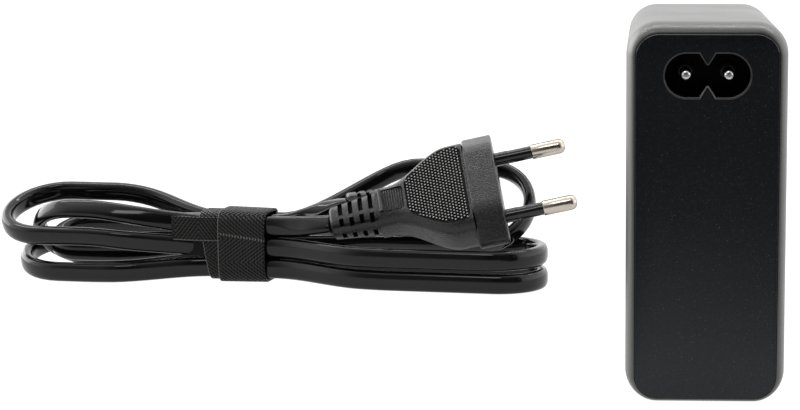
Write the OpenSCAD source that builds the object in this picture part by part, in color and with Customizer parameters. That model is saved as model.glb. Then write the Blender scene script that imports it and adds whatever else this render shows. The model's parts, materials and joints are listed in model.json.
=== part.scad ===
// Laptop power adapter: an upright block with a figure-8 mains inlet, and its detached mains lead,
// tied in a hank.
// Millimetres, +Z up. The origin is the centre of the block's base. The inlet faces -Y.

/* [Case] */
// Width of the block, across its narrow ends
case_w = 32.5; // [32:0.5:40]
// Depth of the block, from the inlet end to the output end
case_d = 76; // [76:1:96]
// Height of the block as it stands
case_h = 77.5; // [77:0.5:96]
// Radius of the four long corners
corner_r = 6.5; // [5:0.5:8]
// Rounding of the rim round each end, as seen from the end
rim_in = 1.6; // [0.8:0.1:1.6]
// Length of that rounding along the case
rim_l = 5.5; // [2:0.5:8]
// Thickness of the case wall
wall = 2.6; // [2.2:0.1:2.8]
// Width of the rim left and right of an end panel
rim_side = 1.75; // [1.2:0.05:2]
// Width of the rim above and below an end panel
rim_top = 2.1; // [1.2:0.05:2.1]
// Thickness of the two end panels
panel_t = 2; // [1.6:0.1:2.6]
// Depth that the panels lie below the ends of the case
panel_inset = 0.15; // [0.05:0.05:0.4]
// Seam between panel and rim, on each side
panel_gap = 0.15; // [0.1:0.05:0.3]
// Corner radius of the panels
panel_r = 4; // [2:0.5:5]

/* [Mains inlet] */
// Distance from the top of the case to the centre of the inlet
inlet_drop = 10.6; // [9.5:0.1:14]
// Radius of the inlet's two round ends
inlet_r = 4.4; // [4.2:0.1:4.6]
// Distance between the centres of the inlet's round ends
inlet_span = 8.3; // [8:0.1:8.6]
// Distance between the two mains pins
pin_pitch = 8.6; // [8.4:0.1:8.8]
// Diameter of the inlet pins
pin_d = 2.4; // [2.3:0.05:2.5]
// Depth of the inlet recess, measured from the panel's face
inlet_depth = 12.5; // [11:0.5:14]
// Distance that the pin tips stay behind the panel's face
pin_recess = 1.4; // [0.8:0.1:3]
// Width of the inlet's V notches at the edge
notch_w = 3.3; // [2.6:0.1:3.6]
// Depth of the V notches
notch_depth = 2.1; // [1.4:0.1:2.2]

/* [Output ports] */
// Height of the upper USB-C port's centre, as a share of the case's height
usb_c_level = 0.7; // [0.68:0.01:0.72]
// Spacing of the USB-C ports, as a share of the case's height
usb_c_spacing = 0.18; // [0.16:0.01:0.19]
// Height of the USB-A port's centre, as a share of the case's height
usb_a_level = 0.31; // [0.28:0.01:0.33]

/* [Boards] */
// Thickness of the main board
board_t = 1.6; // [1.2:0.1:2]
// Thickness of the output board
out_board_t = 1.2; // [1:0.1:1.6]
// Thickness of the insulation sheet behind the main board
sheet_t = 0.3; // [0.2:0.05:0.5]
// Thickness of the gap filler between sheet and board
filler_t = 1.2; // [0.8:0.1:1.6]
// Thickness of the heat spreader
spreader_t = 1; // [0.6:0.1:1.5]
// Thickness of the thermal pads on the tall parts
pad_t = 1; // [0.5:0.1:1.5]
// Gap between neighbouring parts on the main board
part_gap = 0.8; // [0.5:0.1:1]

/* [Mains lead] */
// Width of the flat flex, which stands on edge
flex_w = 5.2; // [4.8:0.1:5.6]
// Thickness of the flat flex
flex_t = 3.3; // [3:0.1:3.5]
// Gap between neighbouring strands in the tie
flex_gap = 0.55; // [0.5:0.01:0.6]
// Width of the hook-and-loop tie
tie_w = 13; // [10:1:15]
// Thickness of the tie, two wraps together
tie_t = 1.1; // [0.8:0.1:1.4]
// Distance between the plug's two pins
plug_pitch = 19; // [18.5:0.1:19.5]
// Width over the plug's collar
collar_w = 35.3; // [34:0.1:36]
// Width of the collar's two flat faces
collar_flat = 20; // [18:0.5:27]
// Thickness of the plug's collar
collar_t = 13.7; // [13:0.1:14.5]
// Length of the collar along the plug
collar_l = 8; // [6:0.5:9]
// Diameter of the plug pins' bare tips
plug_pin_d = 4; // [3.9:0.05:4.1]
// Length of the plug pins outside the collar
plug_pin_l = 19; // [18:0.5:20]
// Length of each pin's insulating sleeve
sleeve_l = 10; // [9:0.5:11]
// Gap all round between the connector's nose and the inlet
nose_gap = 0.3; // [0.2:0.05:0.4]

/* [Hidden] */
$fn = 48;

// Places in the block
end_y = case_d / 2;
face_y = end_y - panel_inset;
panel_in_y = face_y - panel_t;
opening_w = case_w - 2 * rim_side;
opening_h = case_h - 2 * rim_top;
cavity_w = case_w - 2 * wall;
cavity_h = case_h - 2 * wall;
cavity_r = corner_r - wall;
mid_z = case_h / 2;
inlet_z = case_h - inlet_drop;
fit_gap = 0.3;

// Places on the main board, which stands along the -X wall with its parts towards +X
sheet_x = -cavity_w / 2;
filler_x = sheet_x + sheet_t;
board_x = filler_x + filler_t;
board_top = board_x + board_t;
spreader_x = cavity_w / 2 - spreader_t;
tall_part_h = spreader_x - pad_t - board_top;
board_margin = 1.4;
board_d = 2 * (panel_in_y - board_margin);
sheet_z0 = wall + cavity_r;
board_z0 = wall + board_margin;
board_h = case_h - 2 * board_z0;

// Scale of the parts on the board: they are picked to suit its height and its depth
full_board_h = 69.5;
full_board_d = 68.9;
part_k = min(board_h / full_board_h, board_d / full_board_d);

// ---------- Flat shapes and solids that several pieces share ----------

// Rectangle with true round corners, centred
module round_rect(w, h, r) {
    square([w - 2 * r, h], center = true);
    square([w, h - 2 * r], center = true);
    for (sx = [-1, 1], sy = [-1, 1])
        translate([sx * (w / 2 - r), sy * (h / 2 - r)])
            circle(r);
}

// Upright slot with fully round ends, centred
module slot(w, h) {
    square([w, h - w], center = true);
    for (s = [-1, 1])
        translate([0, s * (h - w) / 2])
            circle(d = w);
}

// The figure-8 outline with a V notch above and below, grown or shrunk by grow
module figure_eight(grow = 0) {
    r = inlet_r + grow;
    tip_r = 0.5;
    tip_z = inlet_r - notch_depth + tip_r - grow;
    difference() {
        union() {
            for (s = [-1, 1])
                translate([s * inlet_span / 2, 0])
                    circle(r);
            square([inlet_span, 2 * r], center = true);
        }
        for (s = [-1, 1]) {
            translate([0, s * tip_z])
                circle(tip_r);
            polygon([
                [-tip_r * 0.87, s * (tip_z - 0.5 * tip_r * 0.5)],
                [tip_r * 0.87, s * (tip_z - 0.5 * tip_r * 0.5)],
                [notch_w / 2 - grow * 0.6, s * (inlet_r + 1)],
                [-notch_w / 2 + grow * 0.6, s * (inlet_r + 1)]
            ]);
        }
    }
}

// Extrudes an X-Z outline along +Y from y0 for length l
module along_y(y0, l) {
    translate([0, y0 + l, 0])
        rotate([90, 0, 0])
            linear_extrude(l)
                children();
}

// Stands children on the main board at (y, z): their +Z points away from the board
module on_board(y, z) {
    translate([board_top, y, z])
        rotate([0, 90, 0])
            children();
}

// A closed skin over a list of rings of points, all of the same count
module skin(rings) {
    n = len(rings[0]);
    last = len(rings) - 1;
    polyhedron(
        points = [for (ring = rings, p = ring) p],
        faces = concat(
            [for (i = [1 : n - 2]) [0, i, i + 1]],
            [for (i = [1 : n - 2]) [last * n, last * n + i + 1, last * n + i]],
            [for (k = [0 : last - 1], i = [0 : n - 1]) [k * n + i, (k + 1) * n + i, k * n + (i + 1) % n]],
            [for (k = [0 : last - 1], i = [0 : n - 1])
                [k * n + (i + 1) % n, (k + 1) * n + i, (k + 1) * n + (i + 1) % n]]
        )
    );
}

// ---------- Case ----------

// The block's outer form: round long corners, rounded rims
module case_form() {
    steps = 5;
    skin(concat(
        [for (i = [0 : steps]) case_ring(-1, 90 * i / steps)],
        [for (i = [0 : steps]) case_ring(1, 90 - 90 * i / steps)]
    ));
}

// Outline of the case where its rim's rounding has turned by q: at 0 the end face, at 90 the full size
function case_ring(side, q) =
    let (
        inset = rim_in * (1 - sin(q)),
        y = side * (end_y - rim_l * (1 - cos(q))),
        r = corner_r - inset,
        n = 8
    )
    [for (corner = [0 : 3], k = [0 : n])
        let (a = 90 * (corner + k / n), sx = corner < 2 ? 1 : -1, sz = corner == 0 || corner == 3 ? 1 : -1)
        [sx * (case_w / 2 - corner_r) + r * sin(a), y, mid_z + sz * (mid_z - corner_r) + r * cos(a)]];

module case_shell() {
    color("#2b2b2d")
        difference() {
            case_form();
            translate([0, 0, mid_z]) {
                along_y(-end_y - 1, case_d + 2)
                    round_rect(cavity_w, cavity_h, cavity_r);
                for (y0 = [-end_y - 1, panel_in_y])
                    along_y(y0, end_y - panel_in_y + 1)
                        round_rect(opening_w, opening_h, panel_r + panel_gap);
            }
        }
}

// A bare end panel, from its outer face at y0 inwards
module end_panel(y0) {
    translate([0, 0, mid_z])
        along_y(y0, panel_t)
            round_rect(opening_w - 2 * panel_gap, opening_h - 2 * panel_gap, panel_r);
}

module inlet_panel() {
    color("#17181b")
        difference() {
            end_panel(-face_y);
            translate([0, 0, inlet_z])
                along_y(-face_y - 1, panel_t + 2)
                    figure_eight();
        }
}

module output_panel() {
    color("#17181b")
        difference() {
            end_panel(panel_in_y);
            for (z = usb_c_places())
                translate([0, 0, z])
                    along_y(panel_in_y - 1, panel_t + 2)
                        slot(usb_c_x + 2 * port_gap, usb_c_w + 2 * port_gap);
            translate([0, 0, usb_a_z])
                along_y(panel_in_y - 1, panel_t + 2)
                    square([usb_a_x + 2 * port_gap, usb_a_w + 2 * port_gap], center = true);
        }
}

// ---------- Mains inlet ----------

housing_wall = 1.2;
housing_w = inlet_span + 2 * inlet_r + 2 * housing_wall;
housing_h = 2 * inlet_r + 2 * housing_wall;
housing_back = 2.5;
boss_r = 2.1;
boss_h = 0.8;
recess_floor_y = -face_y + inlet_depth;
housing_back_y = recess_floor_y + housing_back;
boss_top_y = recess_floor_y - boss_h;
pin_shank_r = pin_d / 2 - 0.2;
leg_r = 0.6;
leg_gap = 0.3;
legs_end_y = housing_back_y + 5 * leg_r + 4 * leg_gap;

module inlet_housing() {
    color("#0c0c0d")
        difference() {
            translate([0, 0, inlet_z])
                along_y(-panel_in_y, housing_back_y + panel_in_y)
                    round_rect(housing_w, housing_h, 2);
            difference() {
                translate([0, 0, inlet_z])
                    along_y(-panel_in_y - 1, inlet_depth - panel_t + 1)
                        figure_eight();
                for (s = [-1, 1])
                    translate([s * pin_pitch / 2, recess_floor_y + 1, inlet_z])
                        rotate([90, 0, 0])
                            cylinder(r = boss_r, h = boss_h + 1);
            }
            for (s = [-1, 1])
                translate([s * pin_pitch / 2, housing_back_y + 1, inlet_z])
                    rotate([90, 0, 0])
                        cylinder(r = pin_shank_r, h = inlet_depth);
        }
}

// Round pin along +Z with a round nose at its far end
module nosed_pin(d, l) {
    rotate_extrude()
        intersection() {
            union() {
                translate([-d / 2, 0])
                    square([d, l - d / 2]);
                translate([0, l - d / 2])
                    circle(d = d);
            }
            square([d, l]);
        }
}

// Each pin has a round nose, a slimmer shank in the housing and a leg that turns down to the board
module inlet_pins() {
    tip_y = -face_y + pin_recess;
    color("#c9c6bf")
        for (s = [-1, 1]) {
            shank_end_y = s < 0 ? housing_back_y + 2 * leg_r + 2 * leg_gap : legs_end_y;
            leg_y = shank_end_y - leg_r - leg_gap;
            translate([s * pin_pitch / 2, boss_top_y, inlet_z])
                rotate([90, 0, 0])
                    nosed_pin(pin_d, boss_top_y - tip_y);
            translate([s * pin_pitch / 2, shank_end_y, inlet_z])
                rotate([90, 0, 0])
                    cylinder(r = pin_shank_r, h = shank_end_y - boss_top_y);
            translate([board_top, leg_y, inlet_z])
                rotate([0, 90, 0])
                    cylinder(r = leg_r, h = s * pin_pitch / 2 - board_top - leg_r);
        }
}

// ---------- Sizes and places of ports and boards ----------

// USB receptacle sizes: x is across the block, w along its height, l its depth
usb_c_x = 3.2;
usb_c_w = 8.9;
usb_c_l = 10.5;
usb_c_wall = 0.35;
usb_a_x = 5.8;
usb_a_w = 13.2;
usb_a_l = 14;
usb_a_wall = 0.35;
port_gap = 0.15;
usb_c_z = usb_c_level * case_h;
usb_c_pitch = usb_c_spacing * case_h;
usb_a_z = usb_a_level * case_h;
usb_a_under = 5;
out_board_x = -usb_c_x / 2 - out_board_t;
out_board_d = 16;
out_board_y1 = panel_in_y - 1;
header_edge = 0.3;
header_w = 2.5;

// ---------- Sizes and places of the parts on the board ----------

can_d = 12.5 * part_k;
ring_od = 12.4 * part_k;
ring_id = 6.3 * part_k;
pfc_od = 17 * part_k;
pfc_id = 7 * part_k;
ring_h = 6;
pfc_h = 8;
ring_base = 1.2 * part_k;
fuse_d = 8.5 * part_k;
fuse_h = 8;
bridge_l = 18 * part_k;
bridge_t = 3.6 * part_k;
x_cap = [12 * part_k, 8 * part_k, 13];
power_chip = [8 * part_k, 8 * part_k, 1.1];
core_z = 27 * part_k;
core_y = 26 * part_k;
core_leg = 5 * part_k;
flange_d = 16.4 * part_k;
winding_d = flange_d - 2 * part_gap;
bobbin_wall = 0.8;
window_h = tall_part_h - 2 * core_leg;
out_can_d = 6.3 * part_k;

// Columns run back from the inlet's pins; rows run down from the inlet
board_y0 = -board_d / 2;
row_1 = inlet_z - 0.5;
row_2 = row_1 - can_d - part_gap;
col_1 = board_y0 + part_gap + pfc_od / 2;
col_2 = legs_end_y + part_gap + ring_od / 2;
col_3 = col_2 + ring_od / 2 + part_gap + can_d / 2;
col_4 = col_3 + can_d + part_gap;
col_5 = out_board_y1 - out_board_d + header_edge + header_w / 2;
col_6 = col_5 + header_w / 2 + part_gap + power_chip[1] / 2;
core_at_y = col_3;
core_at_z = row_2 - can_d / 2 - 3 * part_gap - core_z / 2;
pfc_z = board_z0 + 2 * part_gap + pfc_od / 2;
bridge_z = pfc_z + pfc_od / 2 + part_gap + bridge_l / 2;
fuse_z = (bridge_z + bridge_l / 2 + inlet_z - housing_h / 2) / 2;

out_board_z0 = usb_a_z - usb_a_w / 2 - usb_a_under;
out_board_z1 = row_1 - can_d / 2 - part_gap;

// ---------- Boards ----------

module insulation_sheet() {
    color("#d8cfa8")
        translate([sheet_x, -board_d / 2, sheet_z0])
            cube([sheet_t, board_d, case_h - 2 * sheet_z0]);
}

module gap_filler() {
    edge = 3;
    color("#8fa3b5")
        translate([filler_x, -board_d / 2 + edge, sheet_z0 + edge])
            cube([filler_t, board_d - 2 * edge, case_h - 2 * sheet_z0 - 2 * edge]);
}

// The main board leaves its top front corner free for the inlet housing
module main_board() {
    color("#1d5b35")
        difference() {
            translate([board_x, -board_d / 2, board_z0])
                cube([board_t, board_d, board_h]);
            translate([board_x - 1, -end_y, inlet_z - housing_h / 2 - part_gap])
                cube([board_t + 2, housing_back_y + leg_gap + end_y, housing_h * 2]);
        }
}

function usb_c_places() = [usb_c_z, usb_c_z - usb_c_pitch];

module output_board() {
    color("#1d5b35")
        difference() {
            translate([out_board_x, out_board_y1 - out_board_d, out_board_z0])
                cube([out_board_t, out_board_d, out_board_z1 - out_board_z0]);
            // notch that the mid-mounted USB-A receptacle sits in
            translate([out_board_x - 1, face_y - usb_a_l, usb_a_z - usb_a_w / 2])
                cube([out_board_t + 2, usb_a_l, usb_a_w]);
        }
}

// Pin strip between the two boards
module board_header() {
    header_y = out_board_y1 - out_board_d + header_edge;
    header_l = usb_c_pitch;
    pitch = 2.54;
    gap_x = out_board_x - board_top;
    color("#202022")
        translate([board_top, header_y, usb_c_z - header_l])
            cube([gap_x, header_w, header_l]);
    color("#c9a94e")
        for (i = [0 : floor(header_l / pitch) - 1])
            translate([out_board_x, header_y + header_w / 2, usb_c_z - header_l + pitch * (i + 0.5)])
                rotate([0, 90, 0])
                    translate([0, 0, out_board_t])
                        cylinder(r = 0.35, h = 1.2);
}

module usb_c_shells() {
    color("#a9aaad")
        for (z = usb_c_places())
            translate([0, 0, z])
                difference() {
                    along_y(face_y - usb_c_l, usb_c_l)
                        slot(usb_c_x, usb_c_w);
                    along_y(face_y - usb_c_l + 1, usb_c_l)
                        slot(usb_c_x - 2 * usb_c_wall, usb_c_w - 2 * usb_c_wall);
                }
}

module usb_c_tongues() {
    tongue_t = 0.7;
    tongue_w = 6.7;
    color("#1b1b1d")
        for (z = usb_c_places())
            translate([0, 0, z])
                along_y(face_y - usb_c_l + 1, usb_c_l - 1.6)
                    square([tongue_t, tongue_w], center = true);
}

module usb_a_shell() {
    color("#a9aaad")
        translate([0, 0, usb_a_z])
            difference() {
                along_y(face_y - usb_a_l, usb_a_l)
                    square([usb_a_x, usb_a_w], center = true);
                along_y(face_y - usb_a_l + 1, usb_a_l)
                    square([usb_a_x - 2 * usb_a_wall, usb_a_w - 2 * usb_a_wall], center = true);
            }
}

module usb_a_tongue() {
    tongue_t = 1.9;
    tongue_w = 11;
    offset_x = (usb_a_x - 2 * usb_a_wall - tongue_t) / 2 - 0.6;
    color("#e6e6e2")
        translate([-offset_x, 0, usb_a_z])
            along_y(face_y - usb_a_l + 1, usb_a_l - 1.9)
                square([tongue_t, tongue_w], center = true);
}

// ---------- Mains side ----------

module fuse() {
    color("#1f1f21")
        on_board(board_y0 + 2 * part_gap + fuse_d / 2, fuse_z)
            cylinder(d = fuse_d, h = fuse_h);
}

module x_capacitor() {
    color("#d6b12c")
        on_board(col_2, row_2 - part_gap)
            translate([-x_cap[0] / 2, -x_cap[1] / 2, 0])
                cube(x_cap);
}

// Ring core of outer diameter od and bore id, wound: the core itself stands inside the winding
module ring_core(od, id, h) {
    translate([0, 0, ring_base])
        difference() {
            cylinder(d = od - 2 * ring_base, h = h);
            translate([0, 0, -1])
                cylinder(d = id, h = h + 2);
        }
}

module ring_winding(od, id, h) {
    full_h = h + 2 * ring_base;
    difference() {
        cylinder(d = od, h = full_h);
        translate([0, 0, -1])
            cylinder(d = id - 2 * ring_base, h = full_h + 2);
        ring_core(od, id, h);
    }
}

module choke_core() {
    color("#2c4a3a")
        on_board(col_2, row_1)
            ring_core(ring_od, ring_id, ring_h);
}

// Two windings, one on each half of the ring, with a gap between them
module choke_winding() {
    winding_gap = 2;
    color("#b3622a")
        on_board(col_2, row_1)
            difference() {
                ring_winding(ring_od, ring_id, ring_h);
                translate([-winding_gap / 2, -ring_od, -1])
                    cube([winding_gap, 2 * ring_od, 2 * ring_h]);
            }
}

module bridge_rectifier() {
    color("#18181a")
        on_board(col_1, bridge_z)
            translate([-bridge_l / 2, -bridge_t / 2, 0])
                cube([bridge_l, bridge_t, tall_part_h]);
}

module pfc_core() {
    color("#6d6a3c")
        on_board(col_1, pfc_z)
            ring_core(pfc_od, pfc_id, pfc_h);
}

module pfc_winding() {
    color("#b3622a")
        on_board(col_1, pfc_z)
            ring_winding(pfc_od, pfc_id, pfc_h);
}

// Three electrolytic cans, each with a pressed groove near its base
module bulk_capacitors() {
    groove_r = 0.5;
    groove_z = 2;
    can_h = tall_part_h - 2 * pad_t;
    color("#23314d")
        for (place = [[col_3, row_1], [col_4, row_1], [col_3, row_2]])
            on_board(place[0], place[1])
                difference() {
                    cylinder(d = can_d, h = can_h);
                    translate([0, 0, groove_z])
                        rotate_extrude()
                            translate([can_d / 2, 0])
                                circle(groove_r, $fn = 16);
                }
}

module switch_transistors() {
    chip_z = board_z0 + part_gap + power_chip[0] / 2;
    color("#1a1a1c")
        for (z = [chip_z, chip_z + power_chip[0] + 2 * part_gap])
            on_board(core_at_y - flange_d / 2 - part_gap - power_chip[1] / 2, z)
                translate([-power_chip[0] / 2, -power_chip[1] / 2, 0])
                    cube(power_chip);
}

// ---------- Transformer ----------

// Two E halves that close round the bobbin: outer legs, centre post, backs top and bottom
module transformer_core() {
    color("#39393c")
        on_board(core_at_y, core_at_z) {
            for (z = [0, tall_part_h - core_leg])
                translate([-core_z / 2, -core_y / 4, z])
                    cube([core_z, core_y / 2, core_leg]);
            for (s = [-1, 1])
                translate([s * (core_z / 2 - core_leg / 2) - core_leg / 2, -core_y / 4, core_leg])
                    cube([core_leg, core_y / 2, window_h]);
            translate([0, 0, core_leg])
                cylinder(d = 2 * core_leg, h = window_h);
        }
}

module transformer_bobbin() {
    tube_d = 2 * core_leg + 2 * fit_gap;
    color("#e8e4d8")
        on_board(core_at_y, core_at_z)
            difference() {
                translate([0, 0, core_leg])
                    union() {
                        cylinder(d = tube_d + 2 * bobbin_wall, h = window_h);
                        for (z = [0, window_h - bobbin_wall])
                            translate([0, 0, z])
                                cylinder(d = flange_d, h = bobbin_wall);
                    }
                cylinder(d = tube_d, h = tall_part_h);
            }
}

module transformer_winding() {
    color("#d9b23a")
        on_board(core_at_y, core_at_z)
            translate([0, 0, core_leg + bobbin_wall])
                difference() {
                    cylinder(d = winding_d, h = window_h - 2 * bobbin_wall);
                    translate([0, 0, -1])
                        cylinder(d = 2 * core_leg + 2 * fit_gap + 2 * bobbin_wall, h = window_h);
                }
}

// ---------- Small parts in the strip under the transformer ----------

y_cap_d = 8.4 * part_k;
y_cap_t = 3 * part_k;
opto = [6.4 * part_k, 4.6 * part_k, 2.2];
control = [4 * part_k, 6 * part_k, 1.5];
strip_z = board_z0 + part_gap + y_cap_d / 2;
y_cap_y = core_at_y - flange_d / 2 + y_cap_t / 2;
control_y = y_cap_y + y_cap_t / 2 + part_gap + control[1] / 2;
opto_y = control_y + control[1] / 2 + part_gap + opto[1] / 2;

// Dipped disc on edge, with a flat foot
module y_capacitor() {
    foot = [6 * part_k, y_cap_t, 2];
    color("#2f62a8")
        on_board(y_cap_y, strip_z) {
            translate([0, y_cap_t / 2, y_cap_d / 2])
                rotate([90, 0, 0])
                    cylinder(d = y_cap_d, h = y_cap_t);
            translate([-foot[0] / 2, -foot[1] / 2, 0])
                cube(foot);
        }
}

module optocoupler() {
    color("#e9e7e0")
        on_board(opto_y, strip_z)
            translate([-opto[0] / 2, -opto[1] / 2, 0])
                cube(opto);
}

module controller_chip() {
    color("#1a1a1c")
        on_board(control_y, strip_z)
            translate([-control[0] / 2, -control[1] / 2, 0])
                cube(control);
}

// ---------- Output side ----------

module sync_rectifiers() {
    chip = [5 * part_k, 6 * part_k, 1.1];
    color("#1a1a1c")
        for (z = usb_c_places())
            on_board(col_6, z)
                translate([-chip[0] / 2, -chip[1] / 2, 0])
                    cube(chip);
}

// A column of cans under the output board, below the header
module output_capacitors() {
    n = 4;
    color("#b9bcc2")
        for (i = [0 : n - 1])
            on_board(col_5, board_z0 + 3 * part_gap + out_can_d / 2 + i * (out_can_d + part_gap))
                cylinder(d = out_can_d, h = out_board_x - board_top - fit_gap);
}

// ---------- Heat path ----------

spreader_edge = 4;
spreader_y0 = col_1 - bridge_t / 2 - spreader_edge / 2;
spreader_z0 = min(core_at_z - core_z / 2, bridge_z - bridge_l / 2) - spreader_edge;
spreader_z1 = max(core_at_z + core_z / 2, bridge_z + bridge_l / 2) + spreader_edge;

module heat_spreader() {
    color("#b4b7ba")
        translate([spreader_x, spreader_y0, spreader_z0])
            cube([
                spreader_t, core_at_y + core_y / 4 + spreader_edge - spreader_y0,
                spreader_z1 - spreader_z0
            ]);
}

module thermal_pads() {
    color("#9bb0c2")
        translate([spreader_x - pad_t, 0, 0]) {
            translate([0, core_at_y - core_y / 4, core_at_z - core_z / 2])
                cube([pad_t, core_y / 2, core_z]);
            translate([0, col_1 - bridge_t / 2, bridge_z - bridge_l / 2])
                cube([pad_t, bridge_t, bridge_l]);
        }
}

// ---------- Mains lead: places ----------

// Frame of the lead: X runs from the folded left end to the plug, and 0 is the middle of the tie
lead_at = [-119, 98, 0];
lead_yaw = -8;

// Cord ends of plug and connector, in the lead's frame, and how each lies: turn, tilt up, roll
plug_at = [25, -6, 16.5];
plug_turn = [12, 12, 45];
connector_at = [25.5, 6.5, 20];
connector_turn = [25, 0, 0];

module in_lead() {
    translate(lead_at)
        rotate([0, 0, lead_yaw])
            children();
}

// Turns a piece that points along +X: rolls it, tilts its nose up, then turns it
module lay(at, turn) {
    translate(at)
        rotate([0, 0, turn[0]])
            rotate([0, -turn[1], 0])
                rotate([turn[2], 0, 0])
                    children();
}

// ---------- Plug ----------

relief_l = 13.5;
rib_n = 5;
rib_t = 1.7;
grip_l = 24;
plug_body_l = relief_l + grip_l;
neck_half_w = 6;
neck_half_t = 5.2;
shoulder_in = 3.4;
relief_taper = 0.72;
sleeve_r = 1.72;
sleeve_foot_r = 1.82;
shank_r = 1.35;
pin_root = 6;

// Ribbed strain relief from x 0 to l, w by t at its thick end and a little less at the cord
module ribbed_relief(l, w, t, n) {
    step = (l - rib_t) / (n - 1);
    for (i = [0 : n - 1]) {
        k = relief_taper + (1 - relief_taper) * i / (n - 1);
        translate([i * step, 0, 0])
            rotate([90, 0, 90])
                linear_extrude(rib_t)
                    round_rect(w * k, t * k, t * k / 2 - 0.2);
    }
    rotate([90, 0, 90])
        linear_extrude(l)
            round_rect(w * relief_taper - 1.8, t * relief_taper - 1.8, t * relief_taper / 2 - 1.1);
}

// One cross-section of the grip: a rounded box of half sizes a and b at x
function grip_ring(x, a, b, n = 28, power = 2.6) = [
    for (i = [0 : n - 1])
        let (c = cos(360 * i / n), s = sin(360 * i / n))
        [x, a * sign(c) * pow(abs(c), 2 / power), b * sign(s) * pow(abs(s), 2 / power)]
];

// Half width of the grip along its length: slim neck, waist, then flared shoulders
function grip_half_w(t) = mix(neck_half_w, collar_w / 2 - shoulder_in, smooth((t - 0.1) / 0.72));
function grip_half_t(t) = mix(neck_half_t, collar_t / 2 - 0.5, smooth(t));

module plug_body() {
    rings = 14;
    color("#1c1c1e")
        in_lead()
            lay(plug_at, plug_turn)
                difference() {
                    union() {
                        ribbed_relief(relief_l, 12, 9.5, rib_n);
                        skin([for (i = [0 : rings]) let (t = i / rings)
                            grip_ring(relief_l + grip_l * t, grip_half_w(t), grip_half_t(t))]);
                    }
                    for (s = [-1, 1])
                        translate([plug_body_l - pin_root, s * plug_pitch / 2, 0])
                            rotate([0, 90, 0])
                                cylinder(r = shank_r, h = pin_root + 1);
                }
}

// Hexagonal collar with the two pin holes
module plug_collar() {
    color("#1c1c1e")
        in_lead()
            lay(plug_at, plug_turn)
                translate([plug_body_l, 0, 0])
                    difference() {
                        rotate([90, 0, 90])
                            linear_extrude(collar_l)
                                polygon([
                                    [-collar_w / 2, 0.8], [-collar_flat / 2, collar_t / 2],
                                    [collar_flat / 2, collar_t / 2], [collar_w / 2, 0.8],
                                    [collar_w / 2, -0.8], [collar_flat / 2, -collar_t / 2],
                                    [-collar_flat / 2, -collar_t / 2], [-collar_w / 2, -0.8]
                                ]);
                        for (s = [-1, 1])
                            translate([-1, s * plug_pitch / 2, 0])
                                rotate([0, 90, 0])
                                    cylinder(r = shank_r, h = collar_l + 2);
                    }
}

// Pins: slim shank from the root in the moulding to the sleeve's end, then the full round tip
module plug_pins() {
    tip_l = plug_pin_l - sleeve_l;
    root_x = plug_body_l - pin_root;
    tip_x = plug_body_l + collar_l + sleeve_l;
    color("#c9c4b8")
        in_lead()
            lay(plug_at, plug_turn)
                for (s = [-1, 1])
                    translate([0, s * plug_pitch / 2, 0])
                        rotate([0, 90, 0]) {
                            translate([0, 0, root_x])
                                cylinder(r = shank_r, h = tip_x - root_x);
                            translate([0, 0, tip_x])
                                nosed_pin(plug_pin_d, tip_l);
                        }
}

module pin_sleeves() {
    foot_l = 3.5;
    color("#111112")
        in_lead()
            lay(plug_at, plug_turn)
                for (s = [-1, 1])
                    translate([plug_body_l + collar_l, s * plug_pitch / 2, 0])
                        rotate([0, 90, 0])
                            difference() {
                                union() {
                                    cylinder(r = sleeve_r, h = sleeve_l);
                                    cylinder(r = sleeve_foot_r, h = foot_l);
                                }
                                translate([0, 0, -1])
                                    cylinder(r = shank_r, h = sleeve_l + 2);
                            }
}

// ---------- Connector that fits the inlet ----------

c_relief_l = 12;
c_grip_l = 15;
c_nose_l = 11.5;
contact_wall = 0.5;
contact_r = pin_d / 2 + 0.02;
contact_l = 8;
contact_inset = 1;

module connector_body() {
    rings = 6;
    nose_x = c_relief_l + c_grip_l;
    half_w = inlet_span / 2 + inlet_r + 0.4;
    half_t = inlet_r + 0.9;
    color("#1c1c1e")
        in_lead()
            lay(connector_at, connector_turn)
                difference() {
                    union() {
                        ribbed_relief(c_relief_l, 10, 8, rib_n);
                        skin([for (i = [0 : rings]) let (t = i / rings)
                            grip_ring(c_relief_l + c_grip_l * t, mix(5.6, half_w, smooth(t * 1.6)),
                                mix(4.4, half_t, smooth(t * 1.6)), 24)]);
                        translate([nose_x, 0, 0])
                            rotate([90, 0, 90])
                                linear_extrude(c_nose_l)
                                    figure_eight(-nose_gap);
                    }
                    for (s = [-1, 1])
                        translate([nose_x + c_nose_l - contact_inset - contact_l, s * pin_pitch / 2, 0])
                            rotate([0, 90, 0])
                                cylinder(r = contact_r + contact_wall, h = contact_l + contact_inset + 1);
                }
}

module connector_contacts() {
    nose_end = c_relief_l + c_grip_l + c_nose_l;
    color("#b79a4a")
        in_lead()
            lay(connector_at, connector_turn)
                for (s = [-1, 1])
                    translate([nose_end - contact_inset - contact_l, s * pin_pitch / 2, 0])
                        rotate([0, 90, 0])
                            difference() {
                                cylinder(r = contact_r + contact_wall, h = contact_l);
                                translate([0, 0, 0.8])
                                    cylinder(r = contact_r, h = contact_l);
                            }
}

// ---------- The hank: one flex, folded four times to the left and three times to the right ----------

col = flex_t + flex_gap;
level = flex_w + flex_gap;
floor_z = flex_w / 2 + 0.15;
waist_z = flex_w / 2 + tie_t;

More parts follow.
